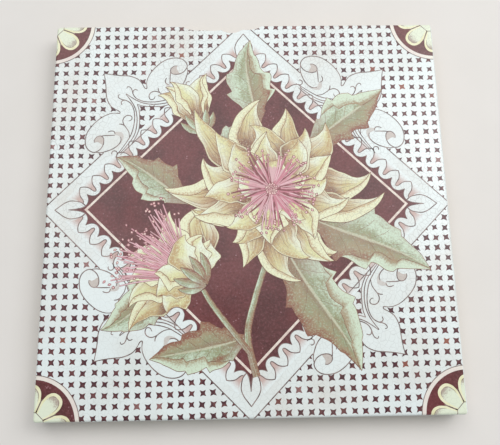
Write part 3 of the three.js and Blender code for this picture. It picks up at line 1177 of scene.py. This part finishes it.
def make_rosettes():
    petal_turns = (-EIGHTH_TURN, 0, EIGHTH_TURN)
    gap_turns = [EIGHTH_TURN * (place - 1.5) for place in range(4)]

    def corner_piece(name, outlines, lift, material):
        motifs = sheet(outlines, LIFT[lift],
                       depth_of=lambda spot: math.hypot(spot.x, CORNER_REACH - spot.y))
        print_piece(name, repeated(motifs, material))

    def petals(half):
        return on_spokes(over_tip(smooth(half, 4)), petal_turns)

    ring = ring_part(ROSETTE_RING, ROSETTE_RADIUS - ROSETTE_UNDERLAP)
    field = ring_part(ROSETTE_RADIUS, ROSETTE_BUTTON - ROSETTE_UNDERLAP)
    button_edge = arc(ROSETTE_BUTTON, gap_turns[0], gap_turns[-1], 3, ROSETTE_CENTRE)
    button = button_edge + [(0, CORNER_REACH + ROSETTE_BUTTON)]
    corner_piece("corner_rings", [ring], "reserve", RING_FINISH)
    corner_piece("corner_fields", [field], "field", FIELD_FINISH)
    corner_piece("corner_buttons", [button], "outline", ROSETTE_FACE_FINISH)
    corner_piece("corner_petal_rims", petals(ROSETTE_PETAL), "outline", RIM_FINISH)
    corner_piece("corner_petal_faces", petals(ROSETTE_FACE), "ribbon", ROSETTE_FACE_FINISH)
    drawing = Drawing()
    rim = arc(ROSETTE_RING, -ROSETTE_SWEEP, ROSETTE_SWEEP, 40, ROSETTE_CENTRE)
    drawing.stroke(rim, LIFT["line"], THIN_LINE, 0)
    drawing.stroke(button_edge, LIFT["line"], THIN_LINE, 0)
    gap = [(0, ROSETTE_BUTTON), (0, (ROSETTE_BUTTON + ROSETTE_GAP_END) / 2), (0, ROSETTE_GAP_END)]
    dot = [(0, ROSETTE_BUTTON - ROSETTE_GAP_TUCK), (0, ROSETTE_GAP_DOT)]
    for shape, width, taper in ((gap, GAP_LINE, 0), (dot, GAP_DOT_WIDTH, 0.5)):
        for stroke in on_spokes(shape, gap_turns):
            drawing.stroke(stroke, LIFT["line"], width, taper)
    for side in (ROSETTE_FACE[4:], mirror(ROSETTE_FACE[2:])):
        for stroke in on_spokes(smooth(side, 4), petal_turns):
            drawing.stroke(stroke, LIFT["line"], LINE_WIDTH / 2, 1)
    print_lines("corner_lines", drawing)


# The spray: blades between two edges, drawn from the back to the front
PETAL_STEPS = 26
LEAF_STEPS = 48
BLADE_COLUMNS = 6
BLADE_VALUES = ("across", "along", "cover", "tone", "turn")
PETAL_PROFILE = ((0, 0.28), (0.2, 0.5), (0.42, 0.9), (0.57, 1.0), (0.72, 0.76), (0.86, 0.34),
                 (0.95, 0.11), (1, 0))
SLIM_PROFILE = ((0, 0.5), (0.3, 0.9), (0.5, 1.0), (0.75, 0.7), (1, 0))
LEAF_PROFILE = ((0, 0.12), (0.12, 0.45), (0.26, 0.86), (0.42, 1.0), (0.62, 0.86), (0.82, 0.45), (1, 0))
STEM_PROFILE = ((0, 1.0), (1, 0.75))

# Swelling of the edges, as a share of the width, and its waves from the base to the tip
PETAL_SWELL = 0.17
PETAL_WAVES = (1.6, 1.3)
LEAF_SWELL = 0.14
LEAF_WAVES = 1.7
LEAF_LOBE = 0.34
LEAF_LOBES = 4.6
RUFFLE = 0.4
RUFFLE_WAVES = 2.7
TIP_FADE = 4

# Least and most curl of a blade, and where its edge turns over and how deep
PETAL_CURL = (0.5, 1.9)
LEAF_CURL = (0.3, 1.0)
LIP_START = (0.2, 0.4)
LIP_DEPTH = (0.2, 0.36)
LIP_BULGE = 0.05
LIP_FULLNESS = 0.8

# Inked lines: outlines, hatching at the root of a petal and the veins of a leaf, counted in steps
OUTLINE_WIDTH = 0.21
OUTLINE_TAPER = 0.2
HATCH_WIDTH = 0.12
HATCH_TAPER = 0.8
NARROWEST_BLADE = HATCH_WIDTH / 4
HATCHES = 8
HATCH_MARGIN = 0.7
HATCH_LEAD = 0.08
HATCH_LONGEST = 0.36
HATCH_SHORTEST = 0.45
FIRST_VEIN = 5
VEIN_PITCH = 6
VEIN_REACH = 8
VEIN_SHARE = 0.8
VEIN_TAPER = 0.7

# Stamens: grounds, filaments and the anthers at their ends and in the middle of a bloom. Where two
# values stand in brackets, they are the least and the most.
GROUNDS_PER_RADIAN = 5
GROUND_START = 0.6
GROUND_LENGTH = 0.66
GROUND_WIDTH = 0.16
GROUND_TAPER = 0.5
GROUND_TONES = (0.45, 0.75)
FILAMENT_WIDTH = 0.36
FILAMENT_SHADE = 1.8
FILAMENT_START = (0.5, 1.5)
FILAMENT_UNEVENNESS = 0.25
FILAMENT_BENDS = (-0.5, 0.5)
FILAMENT_TAPER = 0.3
DARK_TONES = (0.0, 0.24)
LIGHT_TONES = (0.35, 1.1)
TUFT_STEP = 0.0004
TUFT_ROOT = 2.4
BUTTON_DOTS = 34
BUTTON_REACH = TUFT_ROOT * 0.9
ANTHER_STEP = 0.0002
ANTHER_REACH = 0.62
ANTHER_WAIST = 0.5
ANTHER_HEART = 0.6
ANTHER_TURN_SPREAD = 1.5
ANTHER_SIZE_SPREAD = 0.25

# Petals of an open bloom: their slips and bends, and how much their lengths and widths vary
WHORL_SLIPS = (-0.16, 0.16)
WHORL_BENDS = (-0.6, 0.6)
WHORL_DROOP = 0.4
LENGTH_UNEVENNESS = 0.12
WIDTH_UNEVENNESS = 0.14

# Fans of petals: their turns from the heading, from the back to the front, their length as a share
# of the bloom's, its unevenness, their width, how far they bend back, the share of them that is
# covered, and the lips that they may have
BACK_FAN = ((-1.25, 1.2, -0.85, 0.8, -0.42, 0.38, 0.0), 1.0, 0.1, 0.34, 0.5, 0.4, (1, -1))
FRONT_FAN = ((-1.5, 1.4, -0.95, 0.9, -0.1, 0.4, -0.45), 0.58, 0.1, 0.36, 0.55, 0.1, (1, -1, None))
BUD_FAN = ((-0.55, 0.5, -0.28, 0.26, 0.0), 1.0, 0.06, 0.34, 1.5, 0.25, (1, -1))

# Sepals: their turns, and their other measures as shares of their length
SEPAL_TURNS = (-1.25, 1.2, -0.7, 0.65, 0.0)
SEPAL_START = 0.28
SEPAL_WIDTH = 0.3
SEPAL_BEND = 0.7
SEPAL_UNEVENNESS = 0.1
SIDE_SEPALS = 0.4
BUD_SEPALS = 0.45

# Stamens of a bloom: their spread, their length as a share of its petals and their count
OPEN_TUFT = (FULL_TURN, 0.72, 90)
SIDE_TUFT = (1.1, 0.86, 60)


def towards(angle):
    return Vector((math.cos(angle), math.sin(angle)))


def flat(points):
    return [tuple(p) for p in points]


def new_sheet():
    bm = bmesh.new()
    for name in BLADE_VALUES:
        bm.verts.layers.float.new(name)
    return bm


def spine(base, heading, length, bend, curl=0.0, steps=PETAL_STEPS):
    """The middle line of a blade that leaves its base at a heading and bends on its way."""
    points = [Vector(base)]
    for step in range(steps):
        t = (step + 0.5) / steps
        angle = heading + bend * t + curl * t ** 3
        points.append(points[-1] + towards(angle) * length / steps)
    return points


def width_at(profile, v):
    """The share of its full width that a blade has at v, on a curve through the stations."""
    curve = smooth(profile, 8)
    for (v0, w0), (v1, w1) in zip(curve, curve[1:]):
        if v <= v1:
            return max(w0 + (w1 - w0) * (v - v0) / (v1 - v0), 0)
    return profile[-1][1]


def sideways(points, i):
    before = points[max(i - 1, 0)]
    after = points[min(i + 1, len(points) - 1)]
    direction = (after - before).normalized()
    return Vector((-direction.y, direction.x))


def edges_of(points, width, profile, left_swell=lambda v: 1, right_swell=lambda v: 1):
    """Both edges of a blade, from its base to its tip."""
    left = []
    right = []
    last = len(points) - 1
    for i, point in enumerate(points):
        v = i / last
        out = sideways(points, i) * width / 2 * width_at(profile, v)
        left.append(point + out * left_swell(v))
        right.append(point - out * right_swell(v))
    return left, right


class Spray:
    """Flowers, leaves and stems, each shape a hair above the last."""

    def __init__(self):
        self.random = random.Random(SEED)
        self.lift = LIFT["spray"]
        self.petals = new_sheet()
        self.leaves = new_sheet()
        self.lines = Drawing()
        self.filaments = Drawing()
        self.anthers = bmesh.new()

    def rise(self):
        self.lift += SPRAY_STEP
        return self.lift

    def ink_lift(self):
        """Strokes lie just above the shape that they belong to."""
        return self.lift + SPRAY_STEP / 2

    def vary(self, value, share):
        return value * self.random.uniform(1 - share, 1 + share)

    def swell(self, depth, cycles):
        """Slow swelling along an edge with a finer ruffle on it. Both die out at the tip."""
        phase = self.random.uniform(0, FULL_TURN)
        ruffle = self.random.uniform(0, FULL_TURN)

        def share(v):
            turn = cycles * FULL_TURN * v
            wave = math.sin(phase + turn) + RUFFLE * math.sin(ruffle + RUFFLE_WAVES * turn)
            return 1 + depth * wave * min(1, TIP_FADE * (1 - v))
        return share

    def blade(self, bm, left, right, middle=None, **values):
        """One sheet between two edges that meet at the tip, over a middle line where it has one."""
        lift = self.rise()
        layers = {name: bm.verts.layers.float[name] for name in BLADE_VALUES}
        rows = []
        last = len(left) - 1
        for i, (a, b) in enumerate(zip(left, right)):
            columns = BLADE_COLUMNS if (a - b).length > NARROWEST_BLADE else 0
            centre = middle[i] if middle else a.lerp(b, 0.5)
            row = []
            for column in range(columns + 1):
                across = column / BLADE_COLUMNS
                place = a.lerp(centre, 2 * across) if across < 0.5 else centre.lerp(b, 2 * across - 1)
                corner = bm.verts.new((place.x, place.y, lift))
                corner[layers["across"]] = across if columns else 0.5
                corner[layers["along"]] = i / last
                for name, value in values.items():
                    corner[layers[name]] = value
                row.append(corner)
            rows.append(row)
        for low, high in zip(rows, rows[1:]):
            for column in range(BLADE_COLUMNS):
                if len(low) > 1 and len(high) > 1:
                    bm.faces.new((low[column], low[column + 1], high[column + 1], high[column]))
                elif len(low) > 1:
                    bm.faces.new((low[column], low[column + 1], high[0]))
                elif len(high) > 1:
                    bm.faces.new((low[0], high[column + 1], high[column]))

    def outline(self, *edges):
        for edge in edges:
            self.lines.stroke(flat(edge), self.ink_lift(), OUTLINE_WIDTH, OUTLINE_TAPER)

    def hatch(self, left, right, start):
        """Fine strokes that run out of the shaded root of a petal."""
        last = len(left) - 1
        for k in range(HATCHES):
            across = (k + HATCH_MARGIN) / (HATCHES - 1 + 2 * HATCH_MARGIN)
            end = start + HATCH_LONGEST * self.random.uniform(HATCH_SHORTEST, 1.0)
            rows = [i for i in range(len(left)) if start - HATCH_LEAD <= i / last <= end]
            if len(rows) > 2:
                points = [left[i].lerp(right[i], across) for i in rows]
                self.lines.stroke(flat(points), self.ink_lift(), HATCH_WIDTH, HATCH_TAPER)

    def petal(self, base, heading, length, width, bend, cover, lip):
        """A petal. Its lip is the side on which its edge turns over: 1 for left, -1 for right."""
        curl = -math.copysign(self.random.uniform(*PETAL_CURL), bend)
        points = spine(base, heading, length, bend, curl)
        swells = [self.swell(PETAL_SWELL, waves) for waves in PETAL_WAVES]
        left, right = edges_of(points, width, PETAL_PROFILE, *swells)
        self.blade(self.petals, left, right, cover=cover, tone=self.random.random(), turn=0.0)
        self.hatch(left, right, cover)
        self.outline(left, right)
        if lip:
            self.turned_edge(self.petals, points, left if lip > 0 else right, lip, width)

    def turned_edge(self, bm, points, edge, lip, width):
        """The edge of a petal or leaf that turns over and shows its paler back."""
        last = len(points) - 1
        start = round(last * self.random.uniform(*LIP_START))
        outer = []
        inner = []
        depth = width * self.random.uniform(*LIP_DEPTH)
        for i in range(start, last + 1):
            t = (i - start) / (last - start)
            out = sideways(points, i) * lip
            swell = math.sin(math.pi * t) ** LIP_FULLNESS if 0 < t < 1 else 0
            outer.append(edge[i] + out * swell * width * LIP_BULGE)
            inner.append(edge[i] - out * swell * depth)
        self.blade(bm, outer, inner, cover=0.0, tone=self.random.random(), turn=1.0)
        self.outline(outer, inner)

    def leaf(self, base, heading, length, width, bend, lip):
        """A lobed leaf. Its lip is the side on which its edge turns over."""
        def margin():
            wave = self.swell(LEAF_SWELL, LEAF_WAVES)
            phase = self.random.random()

            def share(v):
                lobe = ((v * LEAF_LOBES + phase) % 1) ** 2
                return wave(v) + LEAF_LOBE * lobe * math.sin(math.pi * v)
            return share

        curl = -math.copysign(self.random.uniform(*LEAF_CURL), bend)
        points = spine(base, heading, length, bend, curl, LEAF_STEPS)
        left, right = edges_of(points, width, LEAF_PROFILE, margin(), margin())
        self.blade(self.leaves, left, right, points, cover=0.0, tone=self.random.random(), turn=0.0)
        self.outline(left, right)
        last = len(points) - 1
        for i in range(FIRST_VEIN, last - VEIN_REACH, VEIN_PITCH):
            for edge in (left, right):
                reach = edge[i + VEIN_REACH]
                bow = points[i].lerp(reach, 0.5) + (points[i] - points[i - 1]) * VEIN_SHARE
                tip = points[i].lerp(reach, VEIN_SHARE)
                vein = smooth(flat((points[i], bow, tip)), 4)
                self.lines.stroke(vein, self.ink_lift(), HATCH_WIDTH, VEIN_TAPER)
        if lip:
            self.turned_edge(self.leaves, points, left if lip > 0 else right, lip, width)

    def stem(self, route, width):
        points = [Vector(p) for p in smooth(route, 8)]
        left, right = edges_of(points, width, STEM_PROFILE)
        self.blade(self.leaves, left, right, cover=0.0, tone=self.random.random(), turn=0.0)
        self.outline(left, right)

    def tuft(self, base, heading, spread, length, count):
        """Stamens that fan out of one place: a pink ground, then dark strokes with lighter ones on them."""
        def filament(points, lift, width, taper, tones):
            self.filaments.stroke(flat(points[::3]), lift, width, taper, tone=self.random.uniform(*tones))

        grounds = max(round(spread * GROUNDS_PER_RADIAN), 3)
        for k in range(grounds):
            turn = heading + spread * ((k + 0.5) / grounds - 0.5)
            start = Vector(base) + towards(turn) * TUFT_ROOT * GROUND_START
            points = spine(start, turn, length * GROUND_LENGTH, 0)
            filament(points, self.rise(), length * GROUND_WIDTH, GROUND_TAPER, GROUND_TONES)
        dots = []
        for k in range(count):
            turn = heading + spread * (self.random.random() - 0.5)
            start = Vector(base) + towards(turn) * TUFT_ROOT * self.random.uniform(*FILAMENT_START)
            reach = self.vary(length, FILAMENT_UNEVENNESS)
            points = spine(start, turn, reach, self.random.uniform(*FILAMENT_BENDS))
            self.lift += TUFT_STEP
            filament(points, self.lift, FILAMENT_WIDTH * FILAMENT_SHADE, FILAMENT_TAPER, DARK_TONES)
            filament(points, self.lift + TUFT_STEP / 2, FILAMENT_WIDTH, FILAMENT_TAPER, LIGHT_TONES)
            dots.append(points[-1])
        for k in range(BUTTON_DOTS):
            reach = BUTTON_REACH * math.sqrt(k / BUTTON_DOTS) * min(FULL_TURN, spread) / FULL_TURN
            dots.append(Vector(base) + towards(k * GOLDEN_TURN) * reach)
        for x, y in dots:
            self.lift += ANTHER_STEP
            self.anthers.verts.new((x, y, self.lift))

    def open_bloom(self, centre, whorls, tilt, squash):
        """A bloom seen from the front, its petals in whorls from the outermost inwards."""
        for count, reach, width, first, cover in whorls:
            for parity in (0, 1):
                for k in range(parity, count, 2):
                    place = k + self.random.uniform(*WHORL_SLIPS)
                    heading = math.radians(first) + place * FULL_TURN / count
                    foreshortened = 1 - (1 - squash) * math.cos(heading - tilt) ** 2
                    bend = self.random.uniform(*WHORL_BENDS) - WHORL_DROOP * math.cos(heading)
                    lip = self.random.choice((1, -1, None))
                    length = self.vary(reach, LENGTH_UNEVENNESS) * foreshortened
                    breadth = self.vary(width, WIDTH_UNEVENNESS)
                    self.petal(centre, heading, length, breadth, bend, cover, lip)
        spread, share, count = OPEN_TUFT
        self.tuft(centre, 0, spread, whorls[-1][1] * share, count)

    def fan(self, base, heading, size, kind):
        """Petals that spread from one base, for a bloom of that size."""
        turns, length, unevenness, width, opening, cover, lips = kind
        for turn in turns:
            self.petal(base, heading + turn, self.vary(size * length, unevenness), size * width,
                       -turn * opening, cover, self.random.choice(lips))

    def side_bloom(self, base, heading, size):
        """A half-open bloom seen from the side, with its stamens between the back and front petals."""
        self.fan(base, heading, size, BACK_FAN)
        spread, share, count = SIDE_TUFT
        self.tuft(base, heading, spread, size * share, count)
        self.fan(base, heading, size, FRONT_FAN)
        self.sepals(base, heading, size * SIDE_SEPALS)

    def bud(self, base, heading, size):
        self.fan(base, heading, size, BUD_FAN)
        self.sepals(base, heading, size * BUD_SEPALS)

    def sepals(self, base, heading, length):
        back = Vector(base) - towards(heading) * length * SEPAL_START
        for turn in SEPAL_TURNS:
            reach = self.vary(length, SEPAL_UNEVENNESS)
            points = spine(back, heading + turn, reach, -turn * SEPAL_BEND)
            left, right = edges_of(points, length * SEPAL_WIDTH, SLIM_PROFILE)
            self.blade(self.leaves, left, right, cover=0.0, tone=self.random.random(), turn=0.0)
            self.outline(left, right)


# Layout of the spray: places, headings and sizes. Angles are in degrees, anticlockwise from the right.
SIDE_BLOOM = ((-19, -27), 146, 29)
BUD = ((-18, 33), 112, 22)
MAIN_BLOOM = (9, 7)
MAIN_TILT = 235
MAIN_SQUASH = 0.84
MAIN_WHORLS = (
    (11, 43, 12.0, 8, 0.5),
    (10, 35, 12.0, 25, 0.44),
    (8, 26, 11.0, 4, 0.38),
    (7, 17, 8.5, 18, 0.3),
)
LEAVES = (
    ((22, -4), -25, 50, 18, 16, -1),
    ((12, -12), -68, 56, 18, 36, 1),
    ((-1, -48), 200, 36, 14, -26, 1),
    ((-24, -22), 218, 38, 15, 22, -1),
    ((24, 24), 44, 38, 15, -22, 1),
    ((4, 32), 96, 38, 14, 20, -1),
    ((-22, 2), 150, 34, 13, -28, 1),
    ((-13, 24), 22, 20, 8, 40, None),
)
STEMS = (
    ([(2, -62), (-1, -48), (2, -34), (8, -16)], 2.6),
    ([(0, -54), (-8, -44), (-14, -36), (-17, -31)], 2.2),
    ([(-4, 14), (-12, 22), (-16, 28), (-18, 33)], 1.8),
)


def make_spray():
    spray = Spray()
    for base, heading, length, width, bend, lip in LEAVES:
        spray.leaf(base, math.radians(heading), length, width, math.radians(bend), lip)
    for route, width in STEMS:
        spray.stem(route, width)
    for draw, (base, heading, size) in ((spray.side_bloom, SIDE_BLOOM), (spray.bud, BUD)):
        draw(base, math.radians(heading), size)
    spray.open_bloom(MAIN_BLOOM, MAIN_WHORLS, math.radians(MAIN_TILT), MAIN_SQUASH)
    print_piece("spray_leaves", as_mesh(spray.leaves), LEAF_FINISH)
    print_piece("spray_petals", as_mesh(spray.petals), PETAL_FINISH)
    print_piece("spray_lines", spray.lines.mesh(INK_FINISH))
    print_piece("stamen_filaments", spray.filaments.mesh(PINK_FINISH))
    dots = as_mesh(spray.anthers)
    layers = (("anther_rims", 1, ANTHER_RIM_FINISH), ("anther_hearts", ANTHER_HEART, ANTHER_FINISH))
    for name, size, finish in layers:
        anthers = starred(dots, ANTHER_REACH * size, ANTHER_WAIST * size, ANTHER_TURN_SPREAD,
                          ANTHER_SIZE_SPREAD, finish)
        print_piece(name, anthers)
        dots.transform(Matrix.Translation((0, 0, ANTHER_STEP / 2)))


# Slab and ground. The glaze ends on the sides in a ragged foot, with thicker runs here and there.
GLAZE_FOOT = 7.9
FOOT_WANDER = 0.5
FOOT_WANDER_SCALE = 0.35
FOOT_RUN_SCALE = 0.11
FOOT_RUN_ONSET = 0.25
FOOT_RUN_LENGTH = 6
GLAZE_FILM = 0.15
SIDE_STEPS = 150
CORNER_STEPS = 6
SEAM_HEIGHT = 8.5
SEAM_ARRIS = 1.0
BACK_ARRIS = 0.7
LEAST_RADIUS = 0.1
SHARP_ANGLE = math.radians(38)

# The glazed ground's underside above the body, its inner side within the body, and the rings of its
# rounded foot as insets and heights above the ragged line
UNDERSIDE_INSET = 1.5
UNDERSIDE_GAP = 0.02
INNER_INSET = 0.5
INNER_HEIGHT = 8.4
FOOT_RINGS = ((0.35, 0.3), (GLAZE_FILM - 0.02, 0.0), (0.03, 0.25))

# Recesses of the moulded back: how many in a row, their pitch, and their levels as side, corner
# radius and height
RECESSES_PER_ROW = 8
RECESS_PITCH = 17.0
RECESS_LEVELS = (
    (14.3, 2.35, 0.0),
    (14.06, 2.25, 0.07),
    (13.92, 2.2, 0.22),
    (13.4, 2.2, 0.9),
    (13.2, 2.1, 1.14),
    (12.86, 1.95, 1.32),
    (12.4, 1.7, 1.4),
)


def rounded_square(half, radius, centre=(0, 0), straight=1):
    """Points anticlockwise round a square with rounded corners. straight is the count along a side."""
    reach = half - radius
    side = [Vector((half, -reach + 2 * reach * step / straight)) for step in range(straight)]
    for step in range(CORNER_STEPS):
        angle = step / CORNER_STEPS * QUARTER_TURN
        side.append(Vector((reach + radius * math.cos(angle), reach + radius * math.sin(angle))))
    turns = [Matrix.Rotation(corner * QUARTER_TURN, 2) for corner in range(4)]
    return [turn @ point + Vector(centre) for turn in turns for point in side]


def perimeter(inset):
    """Points round the slab's outline, drawn in by an inset."""
    return rounded_square(FACE_HALF - inset, max(CORNER_RADIUS - inset, LEAST_RADIUS), straight=SIDE_STEPS)


def raised(points, z):
    return [Vector((p.x, p.y, z)) for p in points]


def walls(bm, rings):
    """Quads between rings of equal count. Gives back the corners of each ring."""
    levels = [[bm.verts.new(p) for p in ring] for ring in rings]
    for low, high in zip(levels, levels[1:]):
        for i in range(len(low)):
            j = (i + 1) % len(low)
            bm.faces.new((low[i], low[j], high[j], high[i]))
    return levels


def loft(bm, rings):
    """A closed body through rings of equal count."""
    levels = walls(bm, rings)
    bm.faces.new(levels[0][::-1])
    bm.faces.new(levels[-1])


def glaze_foot(point):
    """Height of the ragged lower edge of the glaze on the sides."""
    def field(scale, row):
        return noise.noise(Vector((point.x * scale, point.y * scale, row)))

    run = max(field(FOOT_RUN_SCALE, 9.0) - FOOT_RUN_ONSET, 0) * FOOT_RUN_LENGTH
    return GLAZE_FOOT + FOOT_WANDER * field(FOOT_WANDER_SCALE, 3.0) - run


def slab_piece(name, bm, materials, node):
    """A closed body in millimetres with the broken places taken out, as a finished piece in metres."""
    def body(label, mesh):
        for material in materials:
            mesh.materials.append(material)
        return linked(label, mesh)

    bmesh.ops.recalc_face_normals(bm, faces=bm.faces[:])
    whole = body(name, as_mesh(bm, name))
    cutters = [body("cutter", chip.cutter(1)) for chip in BREAKS]
    for cutter in cutters:
        modifier = whole.modifiers.new("break", "BOOLEAN")
        modifier.operation = "DIFFERENCE"
        modifier.solver = "MANIFOLD"
        modifier.object = cutter
    mesh = bpy.data.meshes.new_from_object(whole.evaluated_get(bpy.context.evaluated_depsgraph_get()))
    for leftover in (whole, *cutters):
        bpy.data.objects.remove(leftover)
    mesh.transform(Matrix.Scale(MM, 4))
    mesh.shade_smooth()
    mesh.set_sharp_from_angle(angle=SHARP_ANGLE)
    piece = linked(name, mesh)
    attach(piece, "root")
    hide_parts(node)


def make_ground():
    """The white ground under the print, rolled over the edge of the slab."""
    outer = perimeter(0)

    def skirt(inset, rise):
        return [Vector((p.x, p.y, glaze_foot(q) + rise)) for p, q in zip(perimeter(inset), outer)]

    rings = [raised(perimeter(UNDERSIDE_INSET), BODY_TOP + UNDERSIDE_GAP),
             raised(perimeter(INNER_INSET), INNER_HEIGHT),
             *(skirt(inset, rise) for inset, rise in FOOT_RINGS),
             raised(outer, FACE_Z - ARRIS)]
    for inset, angle in zip(ARRIS_INSETS[1:], ARRIS_ANGLES[1:]):
        rings.append(raised(perimeter(inset), FACE_Z - ARRIS + ARRIS * math.sin(angle)))
    bm = bmesh.new()
    loft(bm, rings)
    slab_piece("glazed_ground", bm, (GROUND_FINISH, GLAZE_EDGE_FINISH), "glaze_coat")


def make_slab():
    """The pressed body, with square recesses moulded into its back to key the mortar."""
    rings = []
    for angle in reversed(ARRIS_ANGLES):
        inset = GLAZE_FILM + BACK_ARRIS * (1 - math.cos(angle))
        rings.append(raised(perimeter(inset), BACK_ARRIS * (1 - math.sin(angle))))
    for angle in ARRIS_ANGLES:
        inset = GLAZE_FILM + (SEAM_ARRIS - GLAZE_FILM) * (1 - math.cos(angle))
        rings.append(raised(perimeter(inset), SEAM_HEIGHT + (BODY_TOP - SEAM_HEIGHT) * math.sin(angle)))
    bm = bmesh.new()
    levels = walls(bm, rings)
    bm.faces.new(levels[-1])
    mouths = []
    middle = (RECESSES_PER_ROW - 1) / 2
    for row in range(RECESSES_PER_ROW):
        for column in range(RECESSES_PER_ROW):
            centre = ((column - middle) * RECESS_PITCH, (row - middle) * RECESS_PITCH)
            recess = walls(bm, [raised(rounded_square(side / 2, radius, centre), z)
                                for side, radius, z in RECESS_LEVELS])
            bm.faces.new(recess[-1])
            mouths.append(recess[0])
    loops = [levels[0], *mouths]
    corners = [corner for loop in loops for corner in loop]
    for triangle in tessellate_polygon([[corner.co for corner in loop] for loop in loops]):
        bm.faces.new([corners[i] for i in triangle])
    slab_piece("pressed_slab", bm, (BISCUIT_FINISH, FRACTURE_FINISH), "biscuit_body")


# Camera, fitted to the tile's corners in the photograph: its place in millimetres, turns in degrees
CAMERA_SENSOR = 36.0
CAMERA_LENS = 40.3
CAMERA_PLACE = (-3.23, -51.13, 214.57)
CAMERA_TURNS = (12.409, -0.829, -0.977)

# Light in the room: its name, place and size in metres, its power in watts and its colour
LIGHTS = (
    ("key", (0.6, 0.3, 0.7), (0.5, 0.5), 3.2, (1, 1, 1)),
    ("overhead", (0.0, 0.6, 1.15), (1.6, 1.1), 10.5, (1.0, 0.97, 0.97)),
)
SKY = (0.9, 0.96, 1.0, 1)
SKY_STRENGTH = 0.47

FLOOR_REACH = 3.0
FLOOR_MOTTLE_SCALE = 40
FLOOR_ROUGHNESS = 0.8


def make_camera():
    data = bpy.data.cameras.new("photo_view")
    data.sensor_width = CAMERA_SENSOR
    data.lens = CAMERA_LENS
    camera = linked("photo_view", data)
    camera.location = Vector(CAMERA_PLACE) * MM
    camera.rotation_euler = [math.radians(angle) for angle in CAMERA_TURNS]
    bpy.context.scene.camera = camera


def make_studio():
    scene = bpy.context.scene
    scene.world = bpy.data.worlds.new("studio")
    scene.world.use_nodes = True
    background = scene.world.node_tree.nodes["Background"]
    background.inputs["Color"].default_value = SKY
    background.inputs["Strength"].default_value = SKY_STRENGTH
    scene.view_settings.view_transform = "Standard"
    for name, place, size, power, colour in LIGHTS:
        data = bpy.data.lights.new(name, "AREA")
        data.shape = "RECTANGLE"
        data.size, data.size_y = size
        data.energy = power
        data.color = colour
        light = linked(name, data)
        light.location = place
        light.rotation_euler = Vector(place).to_track_quat("Z", "Y").to_euler()
    bm = bmesh.new()
    bmesh.ops.create_grid(bm, x_segments=1, y_segments=1, size=FLOOR_REACH)
    material, graph = new_material("floor_paint")
    paint = graph.mix(graph.noise(graph.place(), FLOOR_MOTTLE_SCALE, 3), FLOOR_GREY, FLOOR_PALE)
    surface(graph, {"Base Color": paint, "Roughness": FLOOR_ROUGHNESS})
    floor = linked("floor", as_mesh(bm, "floor"))
    floor.data.materials.append(material)


make_camera()
make_studio()
make_slab()
make_ground()
make_stars()
make_reserves()
make_field()
make_ribbon()
make_buds()
make_fleuron_lines()
make_rosettes()
make_spray()
